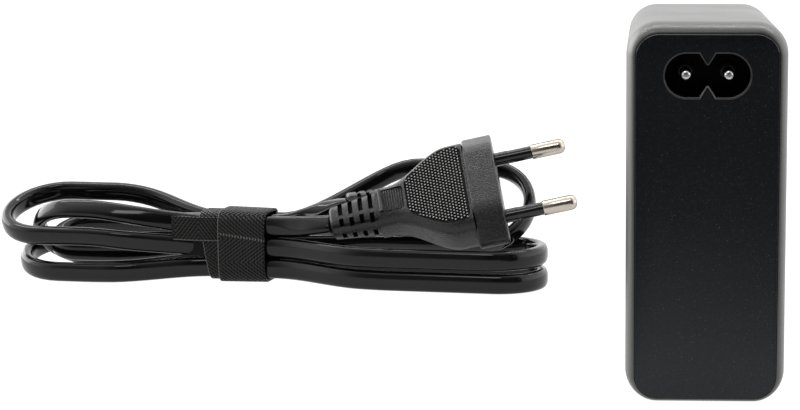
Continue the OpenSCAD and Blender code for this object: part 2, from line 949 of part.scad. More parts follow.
// Strands in the order that the flex runs through them, each as three places [y, z]: in the tie,
// where its left fold begins and where its right fold begins. The first comes from the plug, the
// last goes to the connector.
STRANDS = [
    [[-col, waist_z + 2 * level], [-9.5, 19.3], [-4, 17.5]],
    [[col, waist_z], [9.5, floor_z], [10.8, floor_z]],
    [[-col, waist_z], [-13, floor_z], [-10.8, floor_z]],
    [[col, waist_z + level], [14, 8.2], [14.2, 8.8]],
    [[-col, waist_z + level], [-11.7, 12.2], [-11.4, 8.8]],
    [[col, waist_z + 2 * level], [12.3, 21], [22.5, 28.6]],
    [[0, waist_z + level], [-7.2, 7.4], [2.7, 10.3]],
    [[0, waist_z + 2 * level], [7.2, 12.8], [8, 20]]
];
// How far each fold reaches from the tie
LEFT_REACH = [59.2, 62.8, 68, 54.5];
RIGHT_REACH = [80.1, 79.8, 74.5];
// Stations along a run: the straight part in the tie, then the places where the strands spread
straight = 8.5;
near = 22;
far = 38;
bow_y = 26;
bow_z = 34;
last = len(STRANDS) - 1;

function mix(a, b, t) = a + (b - a) * t;
function smooth(t) = let (u = min(1, max(0, t))) u * u * (3 - 2 * u);
function unit(v) = v / norm(v);

// side is -1 for the left end and 1 for the right
function strand_end(i, side) = STRANDS[i][side < 0 ? 1 : 2];
function reach(i, side) = side < 0 ? LEFT_REACH[floor(i / 2)] : RIGHT_REACH[floor(i / 2)];
function fold_r(i, side) = norm(strand_end(i + 1, side) - strand_end(i, side)) / 2;
function fold_x(i, side) = side * (reach(i, side) - fold_r(i, side));

// The way the flex's wide side stands in the fold after strand i
function fold_up(i, side) =
    let (d = unit(strand_end(i + 1, side) - strand_end(i, side)), n = [0, -d[1], d[0]])
    n[2] < 0 ? -n : n;

// Place of strand i at x, and the way its wide side stands on its way to the fold after strand f
function run_at(i, f, x) =
    let (
        side = x < 0 ? -1 : 1,
        s = abs(x) - straight,
        w = STRANDS[i][0],
        e = strand_end(i, side),
        up = f < 0 || f >= last ? [0, 0, 1] : fold_up(f, side)
    )
    [[x, mix(w[0], e[0], smooth(s / bow_y)), mix(w[1], e[1], smooth(s / bow_z))],
     unit(mix([0, 0, 1], up, smooth(s / bow_z)))];

// The fold after strand i, as n steps of a half circle
function fold_at(i, side, n) =
    let (a = strand_end(i, side), b = strand_end(i + 1, side), m = (a + b) / 2, h = (b - a) / 2)
    [for (k = [1 : n - 1]) let (q = 180 * k / n)
        [[fold_x(i, side) + side * fold_r(i, side) * sin(q), m[0] - h[0] * cos(q), m[1] - h[1] * cos(q)],
         fold_up(i, side)]];

// Whole path of the hank. Even strands run to the left and odd ones to the right.
function hank_path() = [
    for (i = [0 : last])
        let (
            out = i % 2 == 0 ? -1 : 1,
            comes = i == 0 ? [] : [fold_x(i - 1, -out), -out * far, -out * near],
            goes = i == last ? [] : [out * near, out * far, fold_x(i, out)],
            stations = concat(comes, [-out * straight, out * straight], goes)
        )
        each concat(
            [for (x = stations) run_at(i, x * out < 0 ? i - 1 : i, x)],
            i == last ? [] : fold_at(i, out, 5)
        )
];

// One ring of the flex at station k of a path: flat underneath and above, with rounded edges
function flex_ring(path, k, outline) =
    let (
        ends = k == 0 || k == len(path) - 1,
        t = ends ? path[k][2] : unit(path[k + 1][0] - path[k - 1][0]),
        s = unit(cross(path[k][1], t)),
        u = cross(t, s)
    )
    [for (q = outline) path[k][0] + s * q[0] + u * q[1]];

// The flex's section with 6 sides, thickness first
function flex_section() =
    let (hw = flex_w / 2, ht = flex_t / 2)
    [[ht, 0], [ht * 0.6, hw], [-ht * 0.6, hw], [-ht, 0], [-ht * 0.6, -hw], [ht * 0.6, -hw]];

// The hank's path with the direction of travel at both ends
function hank_stations() =
    let (path = hank_path(), n = len(path))
    [for (k = [0 : n - 1]) [path[k][0], path[k][1], [k == 0 ? -1 : 1, 0, 0]]];

// Points on the flex's skin about every step along it: [middle, [points]]
function skin_points(path, step) = [
    for (k = [0 : len(path) - 2])
        let (
            a = flex_ring(path, k, flex_section()),
            b = flex_ring(path, k + 1, flex_section()),
            n = ceil(norm(path[k + 1][0] - path[k][0]) / step)
        )
        for (j = [0 : n - 1]) let (r = mix(a, b, j / n))
            [mix(path[k][0], path[k + 1][0], j / n),
             [for (i = [0 : 5]) each [r[i], mix(r[i], r[(i + 1) % 6], 0.5)]]]
];

// Least distance between points of the skin that lie at least apart stations from each other
function least_gap(stations, apart) = min([
    for (i = [0 : len(stations) - 1 - apart], j = [i + apart : len(stations) - 1])
        if (norm(stations[i][0] - stations[j][0]) < flex_w + 2 * flex_gap)
            for (p = stations[i][1], q = stations[j][1]) norm(p - q)
]);

module lead_hank() {
    path = hank_stations();
    echo(least_gap = least_gap(skin_points(path, 2), 8));
    echo(length = ceil(path_length(path)));
    color("#151516")
        in_lead()
            skin([for (k = [0 : len(path) - 1]) flex_ring(path, k, flex_section())]);
}

function path_length(path) =
    let (steps = [for (k = [1 : len(path) - 1]) norm(path[k][0] - path[k - 1][0])])
    steps * [for (s = steps) 1];

// ---------- The flex's two free ends ----------

// Routes from the tie to the plug and to the connector, chosen by hand
PLUG_ROUTE = [[12, -4.2, 15.3], [16, -5.1, 15.6], [20, -5.9, 16]];
CONNECTOR_ROUTE = [[12, 0.4, 15.7], [16, 2, 17], [20, 4.1, 18.7], [23, 5.5, 19.7]];

function lay_dir(turn) = [cos(turn[0]) * cos(turn[1]), sin(turn[0]) * cos(turn[1]), sin(turn[1])];
// Direction of a laid piece's wide side
function lay_wide(turn) = let (a = turn[0], b = turn[1], r = turn[2])
    [
        -sin(a) * cos(r) - cos(a) * sin(b) * sin(r),
        cos(a) * cos(r) - sin(a) * sin(b) * sin(r),
        cos(b) * sin(r)
    ];

// Stations from the end of the hank's strand i along a route to a laid piece
function tail_path(i, route, at, turn) =
    let (
        places = concat([[straight, STRANDS[i][0][0], STRANDS[i][0][1]]], route, [at]),
        n = len(places) - 1
    )
    [for (k = [0 : n]) [
        places[k],
        unit(mix([0, 0, 1], lay_wide(turn), smooth(k / n))),
        k == 0 ? [1, 0, 0] : lay_dir(turn)
    ]];

module tail(path) {
    color("#151516")
        in_lead()
            skin([for (k = [0 : len(path) - 1]) flex_ring(path, k, flex_section())]);
}

module lead_tail_plug() {
    tail(tail_path(0, PLUG_ROUTE, plug_at, plug_turn));
}

module lead_tail_connector() {
    tail(tail_path(last, CONNECTOR_ROUTE, connector_at, connector_turn));
}

// ---------- Tie ----------

// A band round the waist of the hank, and its free end, which stands off to the left in front
module cable_tie() {
    inner_w = 3 * flex_t + 2 * flex_gap;
    inner_h = 3 * flex_w + 2 * flex_gap;
    round_r = 0.6;
    end_l = 12;
    end_w = 7;
    end_t = 1;
    end_turn = 14;
    root_l = 1.5;
    color("#1d1d1e")
        in_lead() {
            translate([-tie_w / 2, 0, waist_z + level])
                rotate([90, 0, 90])
                    linear_extrude(tie_w)
                        difference() {
                            round_rect(inner_w + 2 * tie_t, inner_h + 2 * tie_t, round_r + tie_t);
                            round_rect(inner_w, inner_h, round_r);
                        }
            translate([root_l - tie_w / 2, -inner_w / 2 - tie_t / 2, waist_z + level])
                rotate([0, 0, end_turn])
                    translate([-end_l - root_l, -end_t / 2, 0])
                        cube([end_l + root_l, end_t, end_w]);
        }
}

case_shell();
inlet_panel();
output_panel();
inlet_housing();
inlet_pins();
insulation_sheet();
gap_filler();
main_board();
output_board();
board_header();
fuse();
x_capacitor();
choke_core();
choke_winding();
bridge_rectifier();
pfc_core();
pfc_winding();
bulk_capacitors();
switch_transistors();
transformer_core();
transformer_bobbin();
transformer_winding();
y_capacitor();
optocoupler();
controller_chip();
sync_rectifiers();
output_capacitors();
heat_spreader();
thermal_pads();
usb_c_shells();
usb_c_tongues();
usb_a_shell();
usb_a_tongue();
plug_body();
plug_collar();
plug_pins();
pin_sleeves();
connector_body();
connector_contacts();
lead_hank();
lead_tail_plug();
lead_tail_connector();
cable_tie();
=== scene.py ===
# %% [markdown]
# A laptop power adapter and its mains lead. The measured solids of the part come in first, as a frame.
# Every shape that shows is then modelled over them, so that sizes and places are never guessed twice.

# %% Load the frame
import json
from math import atan, ceil, copysign, cos, pi, radians, sin, sqrt

import bmesh
import bpy
from mathutils import Matrix, Vector


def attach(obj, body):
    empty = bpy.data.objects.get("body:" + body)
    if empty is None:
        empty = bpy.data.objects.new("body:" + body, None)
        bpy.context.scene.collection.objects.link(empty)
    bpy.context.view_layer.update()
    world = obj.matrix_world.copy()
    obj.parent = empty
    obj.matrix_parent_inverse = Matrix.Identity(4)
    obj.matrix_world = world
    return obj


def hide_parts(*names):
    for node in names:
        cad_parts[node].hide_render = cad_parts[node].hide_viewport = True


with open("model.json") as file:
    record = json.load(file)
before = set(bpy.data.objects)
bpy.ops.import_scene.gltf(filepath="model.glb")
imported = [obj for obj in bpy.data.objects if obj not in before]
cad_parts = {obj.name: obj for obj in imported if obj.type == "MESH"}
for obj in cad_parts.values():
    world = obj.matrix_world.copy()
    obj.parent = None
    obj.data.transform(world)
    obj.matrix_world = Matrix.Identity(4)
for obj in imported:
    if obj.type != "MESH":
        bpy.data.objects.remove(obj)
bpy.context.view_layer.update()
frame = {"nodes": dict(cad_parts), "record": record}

MM = 0.001
MOUNTS = {mount["name"]: mount for mount in frame["record"]["mounts"]}


def size_of(node):
    """Width, depth and height of a solid, in millimetres."""
    return [round(d / MM, 3) for d in frame["nodes"][node].dimensions]


def place_of(mount):
    """Place of a mount, in millimetres."""
    return [round(v / MM, 3) for v in MOUNTS[mount]["pos_m"]]


# %% [markdown]
# The camera stands low in front of the block, a little to its left, and looks slightly down. The block
# stands at the right of the frame. A shift moves the picture sideways without turning the camera, so the
# block's upright edges stay upright.

# %% Camera
camera_data = bpy.data.cameras.new("camera")
camera_data.lens = 93.3
camera_data.sensor_width = 36
camera_data.shift_x = -0.22
camera_data.clip_start = 0.01
camera = bpy.data.objects.new("camera", camera_data)
camera.location = (-11.8 * MM, -449.3 * MM, 102.3 * MM)
camera.rotation_euler = (radians(90 - 8.49), 0, radians(2.0))
bpy.context.collection.objects.link(camera)
bpy.context.scene.camera = camera
print("camera at", tuple(camera.location))

# %% [markdown]
# The mains lead is one flat flex, about 1.13 m long, folded to and fro and tied. A flat flex can't be a
# round curve with a bevel, because it must stand on edge and lean in its folds. So the path is computed
# first: each strand runs straight through the tie, spreads towards its end, and turns back in half a
# circle. A ring of points is then set square to the path at each station, and the rings are joined into one
# tube.

# %% Path of the flex, in the lead's own frame, in millimetres
FLEX_W, FLEX_T, FLEX_GAP, TIE_T, OFF_FLOOR = 5.2, 3.3, 0.55, 1.1, 0.15
COLUMN, LEVEL = FLEX_T + FLEX_GAP, FLEX_W + FLEX_GAP
WAIST_Z, FLOOR_Z = FLEX_W / 2 + TIE_T, FLEX_W / 2 + OFF_FLOOR
# Each strand's (y, z) in the tie, at its left end and at its right end.
STRANDS = [
    [(-COLUMN, WAIST_Z + 2 * LEVEL), (-9.5, 19.3), (-4, 17.5)],
    [(COLUMN, WAIST_Z), (9.5, FLOOR_Z), (10.8, FLOOR_Z)],
    [(-COLUMN, WAIST_Z), (-13, FLOOR_Z), (-10.8, FLOOR_Z)],
    [(COLUMN, WAIST_Z + LEVEL), (14, 8.2), (14.2, 8.8)],
    [(-COLUMN, WAIST_Z + LEVEL), (-11.7, 12.2), (-11.4, 8.8)],
    [(COLUMN, WAIST_Z + 2 * LEVEL), (12.3, 21), (22.5, 28.6)],
    [(0, WAIST_Z + LEVEL), (-7.2, 7.4), (2.7, 10.3)],
    [(0, WAIST_Z + 2 * LEVEL), (7.2, 12.8), (8, 20)],
]
LEFT_REACH = [59.2, 62.8, 68, 54.5]
RIGHT_REACH = [80.1, 79.8, 74.5]
STRAIGHT, BOW_Y, BOW_Z = 8.5, 26, 34
LAST = len(STRANDS) - 1


def mix(a, b, t):
    return a + (b - a) * t


def smooth(t):
    t = min(1, max(0, t))
    return t * t * (3 - 2 * t)


def strand_end(i, side):
    return Vector((0, *STRANDS[i][1 if side < 0 else 2]))


def fold(i, side):
    """Radius, start and upright direction of the fold after strand i."""
    a, b = strand_end(i, side), strand_end(i + 1, side)
    across = b - a
    reach = (LEFT_REACH if side < 0 else RIGHT_REACH)[i // 2]
    up = Vector((0, -across.z, across.y)).normalized()
    return across.length / 2, side * (reach - across.length / 2), up if up.z > 0 else -up


def run_at(i, f, x):
    side = -1 if x < 0 else 1
    s = abs(x) - STRAIGHT
    (wy, wz), end = STRANDS[i][0], strand_end(i, side)
    up = Vector((0, 0, 1)) if f < 0 or f >= LAST else fold(f, side)[2]
    place = Vector((x, mix(wy, end.y, smooth(s / BOW_Y)), mix(wz, end.z, smooth(s / BOW_Z))))
    return place, Vector((0, 0, 1)).lerp(up, smooth(s / BOW_Z)).normalized()


def hank_path(step=2.6, fold_steps=18):
    path = []
    for i in range(LAST + 1):
        out = -1 if i % 2 == 0 else 1
        x0 = out * -STRAIGHT if i == 0 else fold(i - 1, -out)[1]
        x1 = out * STRAIGHT if i == LAST else fold(i, out)[1]
        n = ceil(abs(x1 - x0) / step)
        for k in range(n + 1):
            x = mix(x0, x1, k / n)
            path.append(run_at(i, i - 1 if x * out < 0 else i, x))
        if i < LAST:
            r, x, up = fold(i, out)
            a, b = strand_end(i, out), strand_end(i + 1, out)
            for k in range(1, fold_steps):
                q = pi * k / fold_steps
                place = (a + b) / 2 - (b - a) / 2 * cos(q)
                path.append((Vector((x + out * r * sin(q), place.y, place.z)), up))
    return path


HANK = hank_path()
print("stations in the hank:", len(HANK))

# %% [markdown]
# The plug lies on the bundle, rolled by 45 degrees so that its broad face looks up, and the connector lies
# flat behind it. Each is modelled along the X axis and then laid in place with one matrix. The flex's two
# free ends follow a smooth line from the tie to them.

# %% Places of plug and connector
def at(x, y, z):
    return Matrix.Translation(Vector((x, y, z)) * MM)


def turned(degrees, axis):
    return Matrix.Rotation(radians(degrees), 4, axis)


LEAD = at(-119, 98, 0) @ turned(-8, "Z")
PLUG = at(25, -6, 16.5) @ turned(12, "Z") @ turned(-12, "Y") @ turned(45, "X")
CONNECTOR = at(25.5, 6.5, 20) @ turned(25, "Z")
PLUG_ROUTE = [(12, -4.2, 15.3), (16, -5.1, 15.6), (20, -5.9, 16)]
CONNECTOR_ROUTE = [(12, 0.4, 15.7), (16, 2, 17), (20, 4.1, 18.7), (23, 5.5, 19.7)]


def tail_path(strand, route, laid, steps=5):
    """A Catmull-Rom line from the end of a strand through its route to a laid piece."""
    start = Vector((STRAIGHT, *STRANDS[strand][0]))
    end = laid.translation / MM
    ahead, wide = laid.to_3x3() @ Vector((1, 0, 0)), laid.to_3x3() @ Vector((0, 1, 0))
    knots = [start - Vector((4, 0, 0)), start, *[Vector(p) for p in route], end, end + ahead * 4]
    path = []
    for i in range(1, len(knots) - 2):
        for k in range(steps):
            t = k / steps
            a, b, c, d = knots[i - 1 : i + 3]
            bend, twist = 2 * a - 5 * b + 4 * c - d, 3 * b - a - 3 * c + d
            path.append(0.5 * (2 * b + (c - a) * t + bend * t * t + twist * t**3))
    path.append(end)
    n = len(path) - 1
    return [(p, Vector((0, 0, 1)).lerp(wide, smooth(k / n)).normalized()) for k, p in enumerate(path)]


plug_tail = tail_path(0, PLUG_ROUTE, PLUG)
connector_tail = tail_path(LAST, CONNECTOR_ROUTE, CONNECTOR)
WHOLE = list(reversed(plug_tail)) + HANK[1:] + connector_tail[1:]

# %% The flex as one tube
FLEX_SIDES, FLEX_ROUND = 24, 0.72


def skin(mesh, rows, closed=False):
    """Joins rows of points into faces. In a closed row the last point meets the first."""
    n = len(rows[0])
    pairs = [(j, (j + 1) % n) for j in range(n if closed else n - 1)]
    return [mesh.faces.new((a[j], a[k], b[k], b[j])) for a, b in zip(rows, rows[1:]) for j, k in pairs]


def to_object(name, mesh):
    for face in mesh.faces:
        face.smooth = True
    data = bpy.data.meshes.new(name)
    mesh.to_mesh(data)
    mesh.free()
    obj = bpy.data.objects.new(name, data)
    bpy.context.collection.objects.link(obj)
    return obj


def flex_tube(path):
    mesh, rings = bmesh.new(), []
    for k, (place, up) in enumerate(path):
        ahead = (path[min(k + 1, len(path) - 1)][0] - path[max(k - 1, 0)][0]).normalized()
        side = up.cross(ahead).normalized()
        top = ahead.cross(side)
        ring = []
        for j in range(FLEX_SIDES):
            a = 2 * pi * j / FLEX_SIDES
            c, s = cos(a), sin(a)
            u = copysign(abs(c) ** FLEX_ROUND, c) * FLEX_T / 2
            v = copysign(abs(s) ** FLEX_ROUND, s) * FLEX_W / 2
            ring.append(mesh.verts.new(LEAD @ ((place + side * u + top * v) * MM)))
        rings.append(ring)
    skin(mesh, rings, closed=True)
    mesh.faces.new(list(reversed(rings[0])))
    mesh.faces.new(rings[-1])
    bmesh.ops.recalc_face_normals(mesh, faces=mesh.faces)
    return to_object("lead_flex", mesh)


lead_flex = flex_tube(WHOLE)
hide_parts("lead_hank", "lead_tail_plug", "lead_tail_connector")
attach(lead_flex, "mains_lead")
print("faces of the flex:", len(lead_flex.data.polygons))

# %% [markdown]
# Small helpers stand for what the hand does in edit mode. One starts from a clean selection, one picks
# faces or edges by their place, and one ends a piece: it lays the piece in its place, sets the normals and
# the smoothing, and says which solid the piece stands for.


# %% Helpers for modelling
def leave():
    bpy.ops.object.mode_set(mode="OBJECT")


def choose(obj):
    if bpy.context.object and bpy.context.object.mode != "OBJECT":
        leave()
    bpy.ops.object.select_all(action="DESELECT")
    if obj:
        bpy.context.view_layer.objects.active = obj
        obj.select_set(True)


def edit(obj):
    choose(obj)
    bpy.ops.object.mode_set(mode="EDIT")


def pick(kind, test):
    """Selects the verts, edges or faces of the piece in edit mode that pass the test."""
    bpy.ops.mesh.select_mode(type={"verts": "VERT", "edges": "EDGE", "faces": "FACE"}[kind])
    bpy.ops.mesh.select_all(action="DESELECT")
    mesh = bmesh.from_edit_mesh(bpy.context.object.data)
    picked = [item for item in getattr(mesh, kind) if test(item)]
    for item in picked:
        item.select_set(True)
    mesh.select_flush_mode()
    bmesh.update_edit_mesh(bpy.context.object.data)
    return len(picked)


def everything():
    bpy.ops.mesh.select_all(action="SELECT")


def middle(item):
    """Middle of an edge or face."""
    return sum((v.co for v in item.verts), Vector()) / len(item.verts)


def runs(axis, least):
    """A test for edges that run along an axis for more than so many millimetres."""
    return lambda e: abs(e.verts[0].co[axis] - e.verts[1].co[axis]) > least * MM


def beyond(axis, side, limit):
    """A test for edges that lie wholly beyond a place on an axis, on its plus or minus side."""
    return lambda e: all(v.co[axis] * side > limit * side * MM for v in e.verts)


def facing(axis, side, least=0.9):
    """A test for faces that look along an axis, to its plus or minus side."""
    return lambda f: f.normal[axis] * side > least


def bevel(width, segments, **values):
    bpy.ops.mesh.bevel(offset=width * MM, segments=segments, **values)


def soften(obj, *steps):
    """Bevels edges of a piece. Each step is a test for the edges, a width and a count of segments."""
    edit(obj)
    for test, width, segments in steps:
        pick("edges", test)
        bevel(width, segments)
    leave()


def inset(inwards, depth=0.0):
    bpy.ops.mesh.inset(thickness=inwards * MM, depth=depth * MM)


def extrude(x, y, z):
    bpy.ops.mesh.extrude_region_move(TRANSFORM_OT_translate={"value": (x * MM, y * MM, z * MM)})


def thicken(x, y, z):
    """Extrudes a flat outline into a closed body."""
    everything()
    extrude(x, y, z)
    everything()
    bpy.ops.mesh.normals_make_consistent(inside=False)


def modifier(obj, kind, **values):
    """Adds a modifier with these values and applies it."""
    choose(obj)
    made = obj.modifiers.new(kind.lower(), kind)
    for name, value in values.items():
        setattr(made, name, value)
    bpy.ops.object.modifier_apply(modifier=made.name)


look_of = {"lead_flex": "flex"}


def end(obj, body, slot, nodes=(), place=None, sharp=35, recalc=True):
    """Ends a piece: its place goes into its mesh, its normals point out, and it rides on its body."""
    choose(obj)
    bpy.ops.object.transform_apply(location=True, rotation=True, scale=True)
    if place is not None:
        obj.data.transform(place)
    if recalc:
        edit(obj)
        everything()
        bpy.ops.mesh.remove_doubles(threshold=2e-6)
        bpy.ops.mesh.normals_make_consistent(inside=False)
        leave()
    bpy.ops.object.shade_smooth_by_angle(angle=radians(sharp))
    if nodes:
        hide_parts(*nodes)
    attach(obj, body)
    look_of[obj.name] = slot
    choose(None)
    print(obj.name, len(obj.data.polygons), "faces")


def end_lead(obj, laid, slot="cord_moulding", nodes=(), **values):
    """Ends a piece of the lead in the place where it is laid."""
    end(obj, "mains_lead", slot, nodes, LEAD @ laid, **values)


def add(name, what, **values):
    """Adds a primitive with nothing else selected, and names it."""
    choose(None)
    getattr(bpy.ops.mesh, f"primitive_{what}_add")(**values)
    obj = bpy.context.object
    obj.name = obj.data.name = name
    bpy.ops.object.transform_apply(location=True, rotation=True, scale=True)
    return obj


def box(name, low, high):
    """A cuboid between two corners, in millimetres, ready for shaping."""
    low, high = Vector(low) * MM, Vector(high) * MM
    return add(name, "cube", size=1, location=(low + high) / 2, scale=high - low)


def rod(name, axis, radius, length, centre, sides=48):
    """A round bar along the X or Y axis, in millimetres."""
    turn = (0, pi / 2, 0) if axis == "X" else (pi / 2, 0, 0)
    return add(name, "cylinder", vertices=sides, radius=radius * MM, depth=length * MM, rotation=turn,
               location=[v * MM for v in centre])


# %% [markdown]
# The case is a sleeve with large round corners. Its end rims are not a plain fillet: they are narrow seen
# from the end and long seen from the side, like a quarter of an ellipse. So the cuboid's long edges are
# bevelled first, and each end face is then inset again and again, a little inwards and a little forwards
# each time. A last inset sinks the seat of the end panel, and a bridge between the two seats makes the
# block hollow.

# %% Case
CASE_W, CASE_D, CASE_H = size_of("case_shell")
CORNER = 6.5
SIDE_RIM, TOP_RIM, LOW_RIM, RIM_L, RIM_STEPS = 1.85, 2.3, 1.15, 5.3, 14
SEAT, RIM_Y, SEAT_W, LAST_TURN = 2.15, CASE_D / 2 - 0.2, 0.7, 88


def inset_to(low, high, inwards, forwards, next_low, next_high):
    """Insets the selected end face, then stretches it between its next lowest and highest place."""
    inset(inwards, forwards)
    now_low, now_high = low + inwards, high - inwards
    s = (next_high - next_low) / (now_high - now_low)
    if abs(s - 1) > 1e-6:
        centre = (next_low - now_low * s) / (1 - s)
        bpy.ops.transform.resize(value=(1, 1, s), center_override=(0, 0, centre * MM))


case_sleeve = box("case_sleeve", (-CASE_W / 2, RIM_L - RIM_Y, 0), (CASE_W / 2, RIM_Y - RIM_L, CASE_H))
edit(case_sleeve)
pick("edges", runs(1, 10))
bevel(CORNER, 14)
for side in (-1, 1):
    pick("faces", facing(1, side))
    low, high = 0.0, CASE_H
    for k in range(RIM_STEPS):
        a, b = (radians(LAST_TURN * n / RIM_STEPS) for n in (k, k + 1))
        share = 1 - cos(b)
        next_low, next_high = LOW_RIM * share, CASE_H - TOP_RIM * share
        inset_to(low, high, SIDE_RIM * (cos(a) - cos(b)), RIM_L * (sin(b) - sin(a)), next_low, next_high)
        low, high = next_low, next_high
    inset(0.02, -SEAT)
    inset(SEAT_W)
    bpy.ops.mesh.delete(type="FACE")
pick("edges", lambda e: e.is_boundary)
bpy.ops.mesh.bridge_edge_loops()
leave()
end(case_sleeve, "adapter", "case", ["case_shell"], sharp=50)

# %% [markdown]
# The two end panels are flat plates with round corners. They stand a hair proud of the rim, and the faces of
# their small broken edge that look up get a lighter material, a painted highlight that shows as a fine line
# along the seam. Their holes are cut with a boolean, because the figure-8 hole has both round ends and V
# notches. The same outline makes the hole, the recess behind it and the nose of the connector, so one helper
# models it: a circle is pulled apart into two halves, and the edges between them are pushed in as notches.

# %% Figure-8 outline
PIN_X, _, INLET_Z = place_of("inlet_pin_right")
INLET_R, INLET_SPAN = 4.4, 8.3
NOTCH_W, NOTCH_DEPTH, NOTCH_R = 3.4, 2.6, 0.55
FACE_Y, PANEL_T = 37.96, 2.1


def figure_eight(name, grow, depth):
    """The inlet's outline as a plate in the XZ plane round the origin, extruded along +Y. Grow widens it."""
    r = (INLET_R + grow) * MM
    shape = add(name, "circle", vertices=64, radius=r, fill_type="NGON", rotation=(pi / 2, pi / 64, 0))
    edit(shape)
    for side in (-1, 1):
        pick("verts", lambda v: v.co.x * side > 0)
        bpy.ops.transform.translate(value=(side * INLET_SPAN / 2 * MM, 0, 0))
    pick("edges", lambda e: abs(middle(e).x) < 1e-5)
    bpy.ops.mesh.subdivide(number_cuts=3)
    pick("verts", lambda v: 1e-5 < abs(v.co.x) < 3 * MM)
    bpy.ops.transform.resize(value=((NOTCH_W / 2 - grow * 0.6) / (INLET_SPAN / 4 + 0.1), 1, 1))
    for side in (-1, 1):
        pick("verts", lambda v: abs(v.co.x) < 1e-5 and v.co.z * side > 0)
        bpy.ops.transform.translate(value=(0, 0, -side * NOTCH_DEPTH * MM))
        bevel(NOTCH_R, 4, affect="VERTICES")
    thicken(0, depth, 0)
    leave()
    return shape


def on_wall(edge):
    """Whether an edge borders a face that stands square to a panel."""
    return any(abs(f.normal.y) < 0.2 for f in edge.link_faces)


def move(obj, x, y, z):
    obj.data.transform(at(x, y, z))


def cut(obj, tool, turn=None):
    """Takes the tool's shape, turned if need be, out of the piece, and the tool away."""
    if turn:
        tool.data.transform(turn)
    modifier(obj, "BOOLEAN", operation="DIFFERENCE", object=tool, solver="EXACT")
    bpy.data.objects.remove(tool)


# %% Inlet panel
SEAM, PANEL_EDGE, HOLE_GAP = 0.06, 0.16, 0.3
PANEL_W, PANEL_R = CASE_W - 2 * SIDE_RIM - 2 * SEAM, CORNER - SIDE_RIM
PANEL_LOW, PANEL_HIGH = LOW_RIM + SEAM, CASE_H - TOP_RIM - SEAM


def end_plate(name, side):
    """An end panel at the inlet's end (side -1) or the output's (side 1), with its outer edge broken."""
    low_y, high_y = sorted((side * FACE_Y, side * (FACE_Y - PANEL_T)))
    plate = box(name, (-PANEL_W / 2, low_y, PANEL_LOW), (PANEL_W / 2, high_y, PANEL_HIGH))
    soften(plate, (runs(1, 1), PANEL_R, 12), (beyond(1, side, side * (FACE_Y - 0.01)), PANEL_EDGE, 3))
    return plate


inlet_plate = end_plate("inlet_plate", -1)
hole = figure_eight("hole", HOLE_GAP, 4)
move(hole, 0, -FACE_Y - 1, INLET_Z)
cut(inlet_plate, hole)
end(inlet_plate, "adapter", "panel", ["inlet_panel"], sharp=30)

# %% [markdown]
# A narrow bead frames the hole. It is the front edge of the inlet's own moulding, smoother than the panel,
# and it shows as a thin bright outline; its lower part gets a lighter material, a painted highlight. It is
# the figure-8 plate again, a little larger, with the hole cut out of it and both of its front edges rounded.

# %% Inlet bead
BEAD_L, BEAD_PROUD, BEAD_EDGE = 1.6, 0.04, 0.12
inlet_bead = figure_eight("inlet_bead", HOLE_GAP, BEAD_L)
move(inlet_bead, 0, -FACE_Y - BEAD_PROUD, INLET_Z)
hole = figure_eight("hole", 0, 4)
move(hole, 0, -FACE_Y - 1, INLET_Z)
cut(inlet_bead, hole)
edit(inlet_bead)
in_front = beyond(1, -1, -FACE_Y - BEAD_PROUD / 2)
print("edges of the bead:", pick("edges", lambda e: in_front(e) and on_wall(e)))
bevel(BEAD_EDGE, 3, clamp_overlap=True)
leave()
end(inlet_bead, "adapter", "case", (), sharp=50)

# %% [markdown]
# The recess behind the hole is a deep cup. It is the same outline, with the front face taken away and a
# wall added outwards by a Solidify modifier. A round boss stands on its floor under each pin.

# %% Inlet recess
RECESS, CUP_WALL, BOSS_R, BOSS_L, BOSS_IN = 12.5, 1.2, 1.9, 2.6, 1.2
inlet_cup = figure_eight("inlet_cup", 0, RECESS - PANEL_T)
move(inlet_cup, 0, -FACE_Y + PANEL_T, INLET_Z)
edit(inlet_cup)
pick("faces", facing(1, -1))
bpy.ops.mesh.delete(type="FACE")
leave()
modifier(inlet_cup, "SOLIDIFY", thickness=CUP_WALL * MM, offset=1)
end(inlet_cup, "adapter", "inlet_moulding", ["inlet_housing"], sharp=35, recalc=False)

for side, name in ((-1, "left"), (1, "right")):
    boss_y = -FACE_Y + RECESS - BOSS_IN
    boss = rod(f"inlet_boss_{name}", "Y", BOSS_R, BOSS_L, (side * PIN_X, boss_y, INLET_Z))
    edit(boss)
    pick("faces", facing(1, -1))
    inset(0.25, 0.25)
    inset(0.25, -0.3)
    leave()
    end(boss, "adapter", "inlet_moulding")

# %% [markdown]
# The inlet's pins are turned and plated, with a round nose. A cylinder's front edge is bevelled by almost
# its whole radius, which leaves the tiny flat that such pins have.

# %% Inlet pins
PIN_R, PIN_NOSE, PIN_TIP, PIN_ROOT = MOUNTS["inlet_pin_right"]["dims"]["r_mm"], 0.95, 1.4, 3
PIN_L = RECESS - PIN_TIP + PIN_ROOT
for side, name in ((-1, "left"), (1, "right")):
    pin_y = -FACE_Y + PIN_TIP + PIN_L / 2
    pin = rod(f"inlet_pin_{name}", "Y", PIN_R, PIN_L, (side * PIN_X, pin_y, INLET_Z))
    soften(pin, (beyond(1, -1, -FACE_Y + PIN_TIP + 0.1), PIN_NOSE, 6))
    end(pin, "adapter", "pin_metal", ["inlet_pins"] if side < 0 else (), sharp=60)

# %% [markdown]
# The output panel carries two upright USB-C slots and one USB-A slot. The slots' cutters are cuboids, the
# two narrow ones with fully round ends.

# %% Output panel
USB_C_Z, USB_A_Z = [place_of(name)[2] for name in ("usb_c_upper", "usb_c_lower")], place_of("usb_a")[2]
USB_C_HOLE, USB_A_HOLE = (3.5, 9.2, 1.74), (6.1, 13.5, 0.3)


def slot_cutter(name, z, w, h, r):
    tool = box(name, (-w / 2, FACE_Y - 4, z - h / 2), (w / 2, FACE_Y + 1, z + h / 2))
    soften(tool, (runs(1, 1), r, 10))
    return tool


